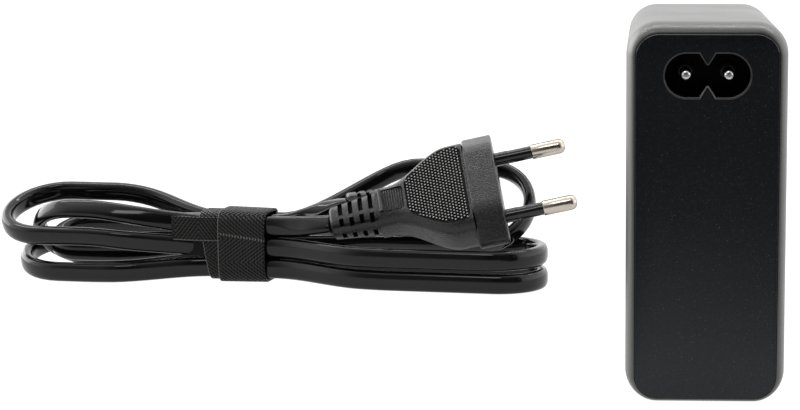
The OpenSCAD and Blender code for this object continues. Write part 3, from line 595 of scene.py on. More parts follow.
output_plate = end_plate("output_plate", 1)
for z in USB_C_Z:
    cut(output_plate, slot_cutter("usb_c_cutter", z, *USB_C_HOLE))
cut(output_plate, slot_cutter("usb_a_cutter", USB_A_Z, *USB_A_HOLE))


def on_face(edge):
    return all(abs(v.co.y - FACE_Y * MM) < 2e-5 for v in edge.verts)


soften(output_plate, (lambda e: on_face(e) and on_wall(e), 0.2, 2))
end(output_plate, "adapter", "panel", ["output_panel"], sharp=30)

# %% [markdown]
# The lead's mouldings are lofts along one axis. Each starts as a small plate with round corners, set square
# to X. The plate is extruded again and again, and after each step the new end is resized, as a hand
# modeller would follow a drawing's sections.


# %% Lofting helpers
def plate_at(name, x, w, t, r):
    """A plate in the YZ plane at x, w wide along Y and t thick along Z, with round corners."""
    plate = add(name, "plane", size=1, rotation=(0, pi / 2, 0), location=(x * MM, 0, 0))
    edit(plate)
    everything()
    bpy.ops.transform.resize(value=(1, w * MM, t * MM))
    bevel(r, 8, affect="VERTICES")
    everything()
    return plate


def step_to(dx, sy=1.0, sz=1.0):
    """Extrudes the selected end along +X and resizes it."""
    extrude(dx, 0, 0)
    bpy.ops.transform.resize(value=(1, sy, sz), center_override=(0, 0, 0))


def loft(name, sections, r):
    """Lofts through sections (x, width, thickness) in millimetres."""
    x, w, t = sections[0]
    obj = plate_at(name, x, w, t, r)
    for nx, nw, nt in sections[1:]:
        step_to(nx - x, nw / w, nt / t)
        x, w, t = nx, nw, nt
    leave()
    return obj


def loft_apart(name, sections, r):
    """Lofts through sections (x, half width, half thickness), and keeps the corners' radius r all along."""
    x, w, t = sections[0]
    obj = plate_at(name, x, 2 * w, 2 * t, r)
    for nx, nw, nt in sections[1:]:
        step_to(nx - x)
        for axis, grow in ((1, nw - w), (2, nt - t)):
            for side in (-1, 1):
                pick("verts", lambda v: v.co.x > (nx - 0.01) * MM and v.co[axis] * side > 1e-6)
                shift = [0, 0, 0]
                shift[axis] = side * grow * MM
                bpy.ops.transform.translate(value=shift)
        pick("faces", lambda f: f.normal.x > 0.99 and middle(f).x > (nx - 0.01) * MM)
        x, w, t = nx, nw, nt
    leave()
    return obj


# A relief's first ring is long, and its slots leave a core and short webs. The windows are given as shares
# of its half width, their floor and the side windows' height as shares of its half thickness.
SLOTS, TAPER, FIRST_RING, RELIEF_R = 4, 0.72, 2.5, 0.36
WINDOWS, WINDOW_SHIFT, WINDOW_FLOOR = [(-0.78, -0.36), (-0.16, 0.9)], 0.04, 0.34
SIDE_FLOOR, SIDE_HALF = 0.66, 0.26
ROUNDED, PAST_SKIN = {0: 0.78, 0.25: 0.92}, 1.2


def relief(name, l, w, t, slot):
    """Strain relief: a block that tapers towards the cord, cut by rows of windows."""
    rib = (l - FIRST_RING - SLOTS * slot) / SLOTS

    def share(x):
        return mix(TAPER, 1, x / l)

    stations = [0, 0.25, 0.6] + [l * k / 8 for k in range(1, 8)] + [l]
    sections = [(x, w * share(x) * ROUNDED.get(x, 1), t * share(x) * ROUNDED.get(x, 1)) for x in stations]
    obj = loft(name, sections, t * TAPER * RELIEF_R)
    for i in range(SLOTS):
        x = FIRST_RING + i * (rib + slot)
        k = share(x)
        half_w, half_t = w * k / 2, t * k / 2
        shift = WINDOW_SHIFT if i % 2 else 0
        for side in (-1, 1):
            for low, high in WINDOWS:
                window = box("window", (x, (low - shift) * half_w, half_t * WINDOW_FLOOR),
                             (x + slot, (high - shift) * half_w, half_t * PAST_SKIN))
                cut(obj, window, turned(180, "X") if side < 0 else None)
            window = box("window", (x, half_w * SIDE_FLOOR, -SIDE_HALF * half_t),
                         (x + slot, half_w * PAST_SKIN, SIDE_HALF * half_t))
            if side < 0:
                window.data.transform(turned(180, "Z"))
                window.data.transform(Matrix.Translation((2 * x * MM + slot * MM, 0, 0)))
            cut(obj, window)
    return obj


# %% Plug: strain relief and grip
RELIEF_L, GRIP_L, COLLAR_L = 13.5, 24.0, 8.0
PLUG_L = RELIEF_L + GRIP_L
COLLAR_W, COLLAR_FLAT, COLLAR_T = 35.3, 20.0, 13.7
RELIEF_W, RELIEF_T, GRIP_R = 12, 9.5, 3.4
NECK_W, NECK_T, WIDE_W, WIDE_T = 6.0, 5.2, COLLAR_W / 2 - 3.4, COLLAR_T / 2 - 0.5
SWELL_FROM, SWELL_L = 0.1, 0.72
plug_relief = relief("plug_relief", RELIEF_L, RELIEF_W, RELIEF_T, slot=1.2)
end_lead(plug_relief, PLUG, nodes=["plug_body"], sharp=30)


def half_sizes(x):
    """Half width and half thickness of the plug's grip at x. It widens from its neck to the collar."""
    t = (x - RELIEF_L) / GRIP_L
    return mix(NECK_W, WIDE_W, smooth((t - SWELL_FROM) / SWELL_L)), mix(NECK_T, WIDE_T, smooth(t))


grip_stations = [RELIEF_L - 0.6 + GRIP_L * k / 24 for k in range(25)] + [PLUG_L]
plug_grip = loft_apart("plug_grip", [(x, *half_sizes(x)) for x in grip_stations], GRIP_R)

# %% [markdown]
# Both broad faces of the grip carry a slightly sunken field full of small raised points, and a ribbed pad
# for the finger at its narrow end. The field is a shallow cutter whose outline follows the grip's own,
# taken out with a boolean. One point is modelled, a small truncated cone, and the rest are copies set in
# staggered rows.

# %% Plug: sunken fields
FIELD_X0, FIELD_IN, FIELD_SINK, FIELD_R = RELIEF_L + 7.4, 2.0, 0.45, 1.8
PAD_X, PAD_L, PAD_W, PAD_SINK = RELIEF_L + 0.2, 6.6, 3.7, 0.5
TWO_FACES = [turned(0, "X"), turned(180, "X")]


def face_height(x):
    return half_sizes(x)[1]


PAD_Z = face_height(PAD_X)


def field_cutter(x0, x1):
    """A thin body over the grip's upper face, between x0 and x1, whose floor lies a little below the face."""
    cutter = add("field", "grid", x_subdivisions=16, y_subdivisions=8, size=1)
    edit(cutter)
    thicken(0, 0, 1)
    leave()
    for vertex in cutter.data.vertices:
        u, v = vertex.co.x + 0.5, vertex.co.y * 2
        x = mix(x0, x1, u)
        ends = min(u * (x1 - x0), (1 - u) * (x1 - x0))
        corner = FIELD_R - sqrt(max(0, FIELD_R**2 - (FIELD_R - min(ends, FIELD_R)) ** 2))
        y = v * (half_sizes(x)[0] - FIELD_IN - corner)
        z = face_height(x) - FIELD_SINK if vertex.co.z < MM / 2 else face_height(x) + 1
        vertex.co = (x * MM, y * MM, z * MM)
    return cutter


for turn in TWO_FACES:
    cut(plug_grip, field_cutter(FIELD_X0, PLUG_L - 0.5), turn)
pad_top = face_height(PAD_X + PAD_L) + 1
for turn in TWO_FACES:
    cutter = box("pad", (PAD_X, -PAD_W, PAD_Z - PAD_SINK), (PAD_X + PAD_L, PAD_W, pad_top))
    soften(cutter, (runs(2, 0.3), 0.9, 4))
    cut(plug_grip, cutter, turn)
print("fields sunk:", len(plug_grip.data.polygons), "faces")
end_lead(plug_grip, PLUG, sharp=32)

# %% Plug: raised points
POINT_R, POINT_TOP, POINT_H, POINT_PITCH, ROW_PITCH, POINT_EDGE = 0.35, 0.25, 0.42, 0.96, 0.8, 0.55
FIRST_ROW, LAST_ROW = FIELD_X0 + 0.75, PLUG_L - 1.1


def join(name, pieces):
    choose(pieces[0])
    for piece in pieces:
        piece.select_set(True)
    bpy.ops.object.join()
    pieces[0].name = pieces[0].data.name = name
    return pieces[0]


def copies(model, places):
    """Copies a small model to each place. The model itself goes."""
    made = []
    for place in places:
        copy = model.copy()
        copy.data = model.data.copy()
        copy.data.transform(place)
        bpy.context.collection.objects.link(copy)
        made.append(copy)
    bpy.data.objects.remove(model)
    return made


point = add("point", "cone", vertices=10, radius1=POINT_R * MM, radius2=POINT_TOP * MM, depth=POINT_H * MM,
            location=(0, 0, POINT_H / 2 * MM))
edit(point)
pick("faces", facing(2, 1))
inset(0.08, 0.05)
pick("faces", facing(2, -1))
bpy.ops.mesh.delete(type="ONLY_FACE")
leave()
places, row, x = [], 0, FIRST_ROW
while x < LAST_ROW:
    half = half_sizes(x)[0] - FIELD_IN - POINT_EDGE
    z = face_height(x) - FIELD_SINK - 0.02
    slope = atan(face_height(x + 0.5) - face_height(x - 0.5))
    n = int(half / POINT_PITCH) + 1
    for k in range(-n, n + 1):
        y = (k + row % 2 / 2) * POINT_PITCH
        if abs(y) < half:
            places += [turn @ at(x, y, z) @ Matrix.Rotation(-slope, 4, "Y") for turn in TWO_FACES]
    row += 1
    x += ROW_PITCH
plug_points = join("plug_points", copies(point, places))
end_lead(plug_points, PLUG, recalc=False)
print("points:", len(places))

# %% [markdown]
# The finger pad is a row of fine ribs across the plug. One rib is a thin bar with a rounded top, copied
# along the pad, and a small tab closes the row at its end nearest the cord.

# %% Plug: finger pad
PAD_RIBS, RIB_HALF, RIB_IN, TAB_IN = 8, 0.22, 0.35, 0.2
rib = box("rib", (-RIB_HALF, RIB_IN - PAD_W, -0.4), (RIB_HALF, PAD_W - RIB_IN, 0.3))
soften(rib, (beyond(2, 1, 0.2), 0.18, 2))
tab = box("tab", (PAD_X - 0.1, TAB_IN - PAD_W, PAD_Z - 0.6), (PAD_X + 0.9, PAD_W - TAB_IN, PAD_Z + 0.75))
at_cord, on_top = beyond(0, -1, PAD_X + 0.1), beyond(2, 1, PAD_Z)
soften(tab, (lambda e: at_cord(e) and on_top(e), 0.55, 4), (runs(2, 0.3), 0.25, 3))
tabs = copies(tab, TWO_FACES)
rib_xs = [PAD_X + 1.5 + k * (PAD_L - 2) / (PAD_RIBS - 1) for k in range(PAD_RIBS)]
ribs = copies(rib, [turn @ at(x, 0, PAD_Z - 0.38) for x in rib_xs for turn in TWO_FACES])
plug_pad = join("plug_pad", ribs + tabs)
end_lead(plug_pad, PLUG, recalc=False)

# %% [markdown]
# The plug's front is a flat collar whose two sides run out in a wedge, as the standard asks. A circle of
# eight points is drawn out to that outline and its corners are rounded, the four broad ones more than those
# at the thin sides. The outline is extruded along the plug, and small insets, each a little deeper, round
# the rims of both ends. Bevels that meet in a sharp wedge would leave spikes there.

# %% Plug: collar
COLLAR_SIDE, COLLAR_RIM, RIM_CUTS = 2.4, 0.6, 4
collar = add("plug_front", "circle", vertices=8, radius=MM, fill_type="NGON")
quarter = [(COLLAR_W / 2, COLLAR_SIDE / 2), (COLLAR_FLAT / 2, COLLAR_T / 2)]
outline = quarter + [(-y, z) for y, z in reversed(quarter)]
outline += [(-y, -z) for y, z in outline]
for vertex, (y, z) in zip(collar.data.vertices, outline):
    vertex.co = ((PLUG_L + COLLAR_RIM) * MM, y * MM, z * MM)
edit(collar)
broad, thin = (0, COLLAR_FLAT / 2 + 0.1, 2.2, 8), (COLLAR_W / 2 - 0.1, COLLAR_W, 0.9, 5)
for low, high, width, segments in (broad, thin):
    pick("verts", lambda v: low * MM < abs(v.co.y) < high * MM)
    bevel(width, segments, affect="VERTICES")
thicken(COLLAR_L - 2 * COLLAR_RIM, 0, 0)
for side in (-1, 1):
    pick("faces", facing(0, side, 0.99))
    for k in range(RIM_CUTS):
        a, b = (pi / 2 * n / RIM_CUTS for n in (k, k + 1))
        inset(COLLAR_RIM * (cos(a) - cos(b)), COLLAR_RIM * (sin(b) - sin(a)))
leave()
end_lead(collar, PLUG, nodes=["plug_collar"], sharp=40)

# %% Plug: sleeves and pins
SLEEVE_L, SLEEVE_R, SLEEVE_STEP, SLEEVE_EDGE = 10.0, 1.82, 3.5, 0.1
PLUG_PIN_L, PLUG_PIN_R, PLUG_PIN_NOSE, PLUG_PITCH = 19.0, 1.99, 1.6, 19.0
PIN_BASE, TIP_L = PLUG_L + COLLAR_L, PLUG_PIN_L - SLEEVE_L
for side, name in ((-1, "low"), (1, "high")):
    pin_y = side * PLUG_PITCH / 2
    sleeve = rod(f"pin_sleeve_{name}", "X", SLEEVE_R, SLEEVE_STEP, (PIN_BASE + SLEEVE_STEP / 2, pin_y, 0))
    edit(sleeve)
    pick("faces", facing(0, 1))
    inset(SLEEVE_EDGE, 0.08)
    extrude(SLEEVE_L - SLEEVE_STEP - 0.15, 0, 0)
    inset(SLEEVE_EDGE, 0.06)
    leave()
    end_lead(sleeve, PLUG, "sleeve", ["pin_sleeves"] if side < 0 else ())

    pin = rod(f"plug_pin_{name}", "X", PLUG_PIN_R, TIP_L, (PIN_BASE + SLEEVE_L + TIP_L / 2, pin_y, 0))
    nose, root = beyond(0, 1, PIN_BASE + PLUG_PIN_L - 0.1), beyond(0, -1, PIN_BASE + SLEEVE_L + 0.1)
    soften(pin, (nose, PLUG_PIN_NOSE, 8), (root, 0.15, 2))
    end_lead(pin, PLUG, "pin_metal", ["plug_pins"] if side < 0 else (), sharp=60)

# %% Connector
C_RELIEF, C_RELIEF_W, C_RELIEF_T, C_GRIP, C_NOSE = 12.0, 10, 8, 15.0, 11.5
C_NECK_W, C_NECK_T, C_WIDE_W, C_WIDE_T = 5.6, 4.4, INLET_SPAN / 2 + INLET_R + 0.4, INLET_R + 0.9
MOUTH_R, MOUTH_L = 1.6, 16
connector_relief = relief("connector_relief", C_RELIEF, C_RELIEF_W, C_RELIEF_T, slot=1.0)
end_lead(connector_relief, CONNECTOR, nodes=["connector_body"])
grip_sections = [(C_RELIEF - 0.6, C_RELIEF_W, C_RELIEF_T)]
for k in range(13):
    t = smooth(k / 12 * 1.6)
    size = 2 * mix(C_NECK_W, C_WIDE_W, t), 2 * mix(C_NECK_T, C_WIDE_T, t)
    grip_sections.append((C_RELIEF + C_GRIP * k / 12, *size))
connector_grip = loft("connector_grip", grip_sections, GRIP_R)
end_lead(connector_grip, CONNECTOR, sharp=40)
nose = figure_eight("connector_nose", -HOLE_GAP, C_NOSE)
nose.data.transform(turned(-90, "Z"))
move(nose, C_RELIEF + C_GRIP, 0, 0)
for side in (-1, 1):
    cut(nose, rod("mouth", "X", MOUTH_R, MOUTH_L, (C_RELIEF + C_GRIP + C_NOSE, side * PIN_X, 0), sides=32))
end_lead(nose, CONNECTOR)

# %% [markdown]
# The tie is a woven strip, wound twice round the bundle. Each turn is a loop of stations that follows a
# rounded rectangle, and each station is a row of points across the strip, so that a turn can lean and widen
# to one side. A Solidify modifier gives the strip its wall. A UV map runs along the strip, and the weave is
# drawn on it.

# %% Tie
TIE_W, TIE_WALL, TURN_STEPS = 12.9, 0.8, 72
TIE_MID_Z, TIE_EDGE, LOOP_ROUND = WAIST_Z + LEVEL, 0.18, (0.42, 0.36)
OUTER_LEFT, OUTER_RIGHT, INNER_OUT = 1.1, 0.85, 0.45
INNER_FROM, INNER_TO, INNER_LEAN = -TIE_W / 2 - 4.2, -TIE_W / 2 + 3.4, -1.4
BUNDLE_W, BUNDLE_H = 3 * FLEX_T + 2 * FLEX_GAP, 3 * FLEX_W + 2 * FLEX_GAP


def loop_point(k, grow):
    """Point k of the bundle's rounded outline, grown outwards. The count starts at the back."""
    angle = 2 * pi * k / TURN_STEPS + pi
    a, b = BUNDLE_W / 2 + grow, BUNDLE_H / 2 + grow
    c, s = cos(angle), sin(angle)
    return -copysign(abs(c) ** LOOP_ROUND[0], c) * a, copysign(abs(s) ** LOOP_ROUND[1], s) * b


strip_length = {}


def strip(name, stations, across=6):
    """A strip through stations (left edge point, right edge point), with a UV map in millimetres along it."""
    mesh = bmesh.new()
    uv = mesh.loops.layers.uv.new("strip")
    rows, along = [], [0.0]
    for left, right in stations:
        left, right = Vector(left), Vector(right)
        if rows:
            along.append(along[-1] + ((left + right) / 2 - before).length)
        before = (left + right) / 2
        rows.append([mesh.verts.new(left.lerp(right, j / across) * MM) for j in range(across + 1)])
    strip_length[name] = along[-1]
    width = (Vector(stations[0][1]) - Vector(stations[0][0])).length
    for n, face in enumerate(skin(mesh, rows)):
        (u0, u1), j = along[n // across : n // across + 2], n % across
        v0, v1 = width * j / across, width * (j + 1) / across
        for loop, value in zip(face.loops, ((u0, v0), (u0, v1), (u1, v1), (u1, v0))):
            loop[uv].uv = value
    return to_object(name, mesh)


def finish_strip(obj, nodes=()):
    modifier(obj, "SOLIDIFY", thickness=TIE_WALL * MM, offset=0)
    modifier(obj, "BEVEL", width=TIE_EDGE * MM, segments=2, limit_method="ANGLE", angle_limit=radians(60))
    end_lead(obj, at(0, 0, TIE_MID_Z), "webbing", nodes, sharp=50, recalc=False)


def main_turn(k):
    """A station of the outer turn. It is widest on its left, where it lies on the inner turn."""
    return (-TIE_W / 2, *loop_point(k, OUTER_LEFT)), (TIE_W / 2, *loop_point(k, OUTER_RIGHT))


def inner_turn(k):
    """A station of the inner turn, which leans to the left at its top and shows beside the outer one."""
    y, z = loop_point(k, INNER_OUT)
    lean = INNER_LEAN * z / (BUNDLE_H / 2)
    return (INNER_FROM + lean, y, z), (INNER_TO + lean, y, z)


finish_strip(strip("tie_band", [main_turn(k) for k in range(TURN_STEPS + 1)]), ["cable_tie"])
finish_strip(strip("tie_inner", [inner_turn(k) for k in range(TURN_STEPS + 1)]))

# %% [markdown]
# The strip's free end comes out from under the inner turn and stands off to the left, and a narrow rounded
# tongue, the strip's other end, shows below it.

# %% Tie: free ends
FRONT = -BUNDLE_W / 2


def free_end(name, x0, x1, z0, z1, out, off, droop, tip):
    """A flat tab from x0 to x1 between the heights z0 and z1, out from the bundle, and off it at its end."""
    stations = []
    for k in range(13):
        t = k / 12
        x = mix(x0, x1, t)
        narrow = tip * (1 - sqrt(max(0, 1 - max(0, (t - 0.7) / 0.3) ** 2))) * (z1 - z0) / 2
        y = FRONT - out - off * smooth(t)
        fall = droop * t * t
        stations.append(((x, y, z0 - fall + narrow), (x, y, z1 - fall - narrow)))
    finish_strip(strip(name, stations))


free_end("tie_end", -TIE_W / 2 + 1, -18.8, 1.6, 8.0, 0.5, 1.7, -0.4, 0.0)
free_end("tie_tongue", -TIE_W / 2 + 1, -20.4, -2.3, 2.7, 0.3, 0.2, 0, 0.8)

# %% [markdown]

# %% [markdown]
# Every surface here is black or grey plastic, so the finish is in its small grain. One node group makes it:
# noise at two scales gives flecks of a lighter colour, an uneven roughness and a fine bump, and a few cells
# of a Voronoi texture give sparks. Each material sets its own values.


# %% Grain group
def put(tree, node, values):
    """Gives a node's inputs a number, a colour or the output of another node."""
    for key, value in values.items():
        if isinstance(value, bpy.types.NodeSocket):
            tree.links.new(value, node.inputs[key])
        else:
            node.inputs[key].default_value = value


def add_node(tree, kind, values=None, **settings):
    made = tree.nodes.new("ShaderNode" + kind)
    for name, value in settings.items():
        setattr(made, name, value)
    put(tree, made, values or {})
    return made


def maths(tree, operation, *values):
    return add_node(tree, "Math", dict(enumerate(values)), operation=operation).outputs[0]


def ramp(tree, value, start, stop, low=0.0, high=1.0, **settings):
    """Turns what runs from start to stop into what runs from low to high."""
    values = {"Value": value, "From Min": start, "From Max": stop, "To Min": low, "To Max": high}
    return add_node(tree, "MapRange", values, **settings).outputs["Result"]


def blend(tree, share, a, b):
    """Mixes two colours."""
    return add_node(tree, "Mix", {"Factor": share, 6: a, 7: b}, data_type="RGBA").outputs[2]


def new_group(name, inputs, outputs):
    """A group with these sockets, what it is given and the node that takes its results."""
    group = bpy.data.node_groups.new(name, "ShaderNodeTree")
    for label, kind, value in inputs:
        made = group.interface.new_socket(name=label, in_out="INPUT", socket_type="NodeSocket" + kind)
        if value is not None:
            made.default_value = value
    for label, kind in outputs:
        group.interface.new_socket(name=label, in_out="OUTPUT", socket_type="NodeSocket" + kind)
    return group, group.nodes.new("NodeGroupInput").outputs, group.nodes.new("NodeGroupOutput")


def build_grain():
    group, given, results = new_group("grain", [
        ("Scale", "Float", 1500), ("Base", "Color", (0.02, 0.02, 0.02, 1)),
        ("Fleck", "Color", (0.05, 0.05, 0.05, 1)), ("Flecks", "Float", 0.5), ("Rough low", "Float", 0.4),
        ("Rough high", "Float", 0.6), ("Bump", "Float", 0.3), ("Sparks", "Float", 0.0),
        ("Depth", "Float", 0.05 * MM),
    ], [("Color", "Color"), ("Roughness", "Float"), ("Normal", "Vector")])
    where = add_node(group, "TexCoord").outputs["Object"]
    fine = add_node(group, "TexNoise", {"Vector": where, "Scale": given["Scale"], "Detail": 3}).outputs["Fac"]
    broad = add_node(group, "TexNoise", {"Vector": where, "Scale": 60, "Detail": 4}).outputs["Fac"]
    flecks = maths(group, "MULTIPLY", ramp(group, fine, 0.5, 0.72), given["Flecks"])
    colour = blend(group, flecks, given["Base"], given["Fleck"])
    cells = add_node(group, "TexVoronoi", {"Vector": where, "Scale": 1900}).outputs
    near = ramp(group, cells["Distance"], 0.16, 0.05)
    lucky = ramp(group, add_node(group, "SeparateColor", {0: cells["Color"]}).outputs[0], 0.4, 1.0)
    sparks = maths(group, "MULTIPLY", maths(group, "MULTIPLY", near, lucky), given["Sparks"])
    bump = {"Distance": given["Depth"], "Strength": given["Bump"], "Height": fine}
    put(group, results, {
        "Color": blend(group, sparks, colour, (0.4, 0.4, 0.42, 1)),
        "Roughness": ramp(group, broad, 0.3, 0.7, given["Rough low"], given["Rough high"]),
        "Normal": add_node(group, "Bump", bump).outputs["Normal"],
    })
    return group


GRAIN = build_grain()
print("group:", GRAIN.name)


def material(name, base, fleck, rough, scale, flecks, bump, metallic=0.0, specular=0.5, sparks=0.0,
             depth=0.05, tint=(1, 1, 1)):
    """A material whose colour, roughness and normal come from the grain group. A grey can be one number."""
    made = bpy.data.materials.new(name)
    made.use_nodes = True
    tree = made.node_tree
    base, fleck = (c if isinstance(c, tuple) else (c, c, c) for c in (base, fleck))
    grain = add_node(tree, "Group", node_tree=GRAIN)
    put(tree, grain, {
        "Scale": scale, "Base": (*base, 1), "Fleck": (*fleck, 1), "Flecks": flecks, "Bump": bump,
        "Sparks": sparks, "Rough low": rough[0], "Rough high": rough[1], "Depth": depth * MM,
    })
    color, roughness, normal = grain.outputs
    put(tree, tree.nodes["Principled BSDF"], {
        "Metallic": metallic, "Specular IOR Level": specular, "Specular Tint": (*tint, 1),
        "Base Color": color, "Roughness": roughness, "Normal": normal,
    })
    return made


# %% [markdown]
# The tie is woven so finely that its yarns are drawn, not modelled. The strip's own UV map runs in
# millimetres along and across it. Diagonal ridges change their direction at every band, as in a
# herringbone, and a finer wave cuts each ridge into stitches. The group gives a mask of the ridges, and one
# of lighter lines: a row of stitches, and a painted highlight along the strip's left selvedge. The material
# turns them into colour and height; the colour is darker between the ridges, as painted shade, and lighter
# on them, as a painted highlight.


# %% Weave group
def build_weave():
    group, given, results = new_group("weave", [
        ("Vector", "Vector", None), ("Pitch", "Float", 1.0), ("Band", "Float", 6.2), ("Seam", "Float", 20),
    ], [("Ridges", "Float"), ("Marks", "Float")])
    parts = add_node(group, "SeparateXYZ", {0: given["Vector"]}).outputs
    along, across = parts[0], parts[1]

    def do(operation, *values):
        return maths(group, operation, *values)

    slanted = do("ADD", do("MULTIPLY", across, -0.75), do("PINGPONG", along, given["Band"]))
    ridge = do("SINE", do("MULTIPLY", do("DIVIDE", slanted, given["Pitch"]), 2 * pi))
    stitch = do("SINE", do("MULTIPLY", across, 2 * pi / 0.8))
    shifted = do("ADD", along, do("MULTIPLY", across, 0.12))
    off_seam = do("ABSOLUTE", do("SUBTRACT", shifted, given["Seam"]))
    seam = do("MULTIPLY", do("LESS_THAN", off_seam, 0.32), do("GREATER_THAN", stitch, 0.1))
    put(group, results, {
        "Ridges": ramp(group, do("ADD", ridge, do("MULTIPLY", stitch, 0.4)), -1.1, 1.2),
        # Lighter lines: the row of stitches, and a painted highlight along the strip's left edge.
        "Marks": do("MAXIMUM", seam, do("LESS_THAN", across, 0.3)),
    })
    return group


WEAVE = build_weave()
print("group:", WEAVE.name)

# %% Materials
# Base and fleck colour, lowest and highest roughness, scale, share of flecks, bump, metallic, specular,
# sparks. The first names are those of the record's slots, the last five are second materials, which carry
# painted highlight and painted shade.
LOOKS = {
    "case": ((0.014, 0.014, 0.0136), (0.034, 0.034, 0.033), (0.36, 0.42), 2200, 0.5, 0.25, 0, 0.9, 0.12),
    "panel": ((0.003, 0.0036, 0.0048), (0.012, 0.013, 0.015), (0.24, 0.32), 2600, 0.6, 0.4, 0, 0.3, 0.3),
    "inlet_moulding": (0.001, 0.003, (0.3, 0.4), 900, 0.3, 0.1, 0, 0.1),
    "pin_metal": ((0.46, 0.42, 0.36), (0.38, 0.34, 0.29), (0.18, 0.26), 700, 0.4, 0.05, 1.0),
    "sheet": ((0.55, 0.46, 0.2), (0.6, 0.52, 0.28), (0.3, 0.4), 500, 0.4, 0.1),
    "filler": ((0.3, 0.38, 0.48), (0.36, 0.44, 0.52), (0.6, 0.8), 900, 0.5, 0.4),
    "board": ((0.02, 0.13, 0.05), (0.03, 0.2, 0.08), (0.3, 0.45), 700, 0.5, 0.2),
    "black_moulding": ((0.015, 0.015, 0.016), 0.04, (0.45, 0.6), 1500, 0.5, 0.4),
    "yellow_case": ((0.7, 0.52, 0.05), (0.75, 0.6, 0.1), (0.3, 0.4), 900, 0.4, 0.15),
    "ferrite": ((0.05, 0.05, 0.055), 0.12, (0.5, 0.7), 1800, 0.6, 0.5),
    "copper_wire": ((0.5, 0.17, 0.06), (0.6, 0.26, 0.1), (0.2, 0.35), 1200, 0.5, 0.5, 0.6),
    "can_sleeve": ((0.02, 0.035, 0.12), (0.04, 0.06, 0.18), (0.2, 0.3), 600, 0.3, 0.1),
    "pale_moulding": ((0.72, 0.69, 0.6), (0.78, 0.76, 0.68), (0.4, 0.5), 900, 0.4, 0.2),
    "tape": ((0.65, 0.48, 0.05), (0.7, 0.55, 0.1), (0.2, 0.3), 500, 0.4, 0.2),
    "blue_disc": ((0.04, 0.14, 0.45), (0.06, 0.18, 0.5), (0.2, 0.35), 700, 0.4, 0.2),
    "can_metal": ((0.7, 0.71, 0.73), (0.62, 0.63, 0.65), (0.25, 0.35), 900, 0.4, 0.1, 1.0),
    "spreader": ((0.66, 0.67, 0.69), (0.58, 0.59, 0.6), (0.3, 0.45), 900, 0.4, 0.2, 1.0),
    "steel_shell": ((0.7, 0.7, 0.71), (0.6, 0.6, 0.62), (0.14, 0.24), 1200, 0.4, 0.1, 1.0),
    "tongue": ((0.8, 0.8, 0.77), (0.7, 0.7, 0.68), (0.4, 0.5), 900, 0.3, 0.2),
    "cord_moulding": (0.004, (0.024, 0.024, 0.022), (0.24, 0.32), 2600, 0.6, 1.0, 0, 0.36),
    "sleeve": ((0.005, 0.005, 0.0055), 0.01, (0.14, 0.2), 700, 0.3, 0.06, 0, 0.4),
    "contact_metal": ((0.7, 0.5, 0.2), (0.6, 0.44, 0.18), (0.2, 0.3), 900, 0.4, 0.1, 1.0),
    "flex": ((0.0025, 0.0025, 0.0026), 0.006, (0.1, 0.14), 420, 0.3, 0.05, 0, 0.28),
    "webbing": ((0.004, 0.004, 0.0042), 0.012, (0.42, 0.55), 2200, 0.5, 0.3, 0, 0.26),
    # A much lighter grey, a painted highlight: the end panels' upward broken edges and the inlet bosses.
    "polished_edge": (0.03, 0.06, (0.28, 0.34), 1800, 0.4, 0.1, 0, 1.0),
    # Lighter still, a painted highlight: the lower part of the bead round the inlet.
    "lower_lip": (0.09, 0.14, (0.28, 0.34), 1800, 0.4, 0.1, 0, 1.0),
    # Duller, and darker as painted shade: the sunken fields' floor, the points' sides and the relief windows.
    "dull_moulding": (0.003, 0.006, (0.6, 0.7), 1500, 0.5, 0.6, 0, 0.12),
    # Much lighter, a painted highlight: the tops of the plug's raised points.
    "worn_points": ((0.17, 0.17, 0.16), (0.18, 0.18, 0.17), (0.3, 0.38), 1500, 0.5, 0.3, 0, 1.0),
    # Darker and without weave: the tie's smooth hook side, and partly painted shade on the tongue.
    "hook_side": (0.0015, 0.005, (0.5, 0.6), 2500, 0.5, 0.6, 0, 0.12),
}
EXTRAS = {
    "case": {"tint": (1, 1, 0.97)}, "panel": {"tint": (0.88, 0.94, 1)},
    "pin_metal": {"tint": (0.3, 0.28, 0.25)}, "cord_moulding": {"depth": 0.2},
}
MATERIALS = {name: material(name, *look, **EXTRAS.get(name, {})) for name, look in LOOKS.items()}
print("materials:", len(MATERIALS))

# %% Weave of the tie
webbing = MATERIALS["webbing"].node_tree
shader, grain = webbing.nodes["Principled BSDF"], webbing.nodes["Group"]
strip_map = add_node(webbing, "UVMap", uv_map="strip").outputs["UV"]
seam_place = strip_length["tie_band"] / 2 + 0.45 * BUNDLE_H / 2
weave = add_node(webbing, "Group", node_tree=WEAVE)
put(webbing, weave, {"Vector": strip_map, "Seam": seam_place})
ridges, stitches_and_edge_highlight = weave.outputs
# Darker between the ridges and lighter on them: painted shade and painted highlight on the weave.
threads_with_painted_shade = blend(webbing, ridges, (0.0008, 0.0008, 0.0009, 1), (0.011, 0.011, 0.01, 1))
height = {"Strength": 1.0, "Distance": 0.45 * MM, "Height": ridges, "Normal": grain.outputs["Normal"]}
# The stitches and the painted highlight along the left edge are lighter than the weave.
put(webbing, shader, {
    "Base Color": blend(webbing, stitches_and_edge_highlight, threads_with_painted_shade, (0.1, 0.1, 0.095, 1)),
    "Roughness": ramp(webbing, ridges, 0.0, 1.0, 1.0, 0.3),
    "Normal": add_node(webbing, "Bump", height).outputs["Normal"],
})
print("weave pitch:", weave.inputs["Pitch"].default_value, "mm")

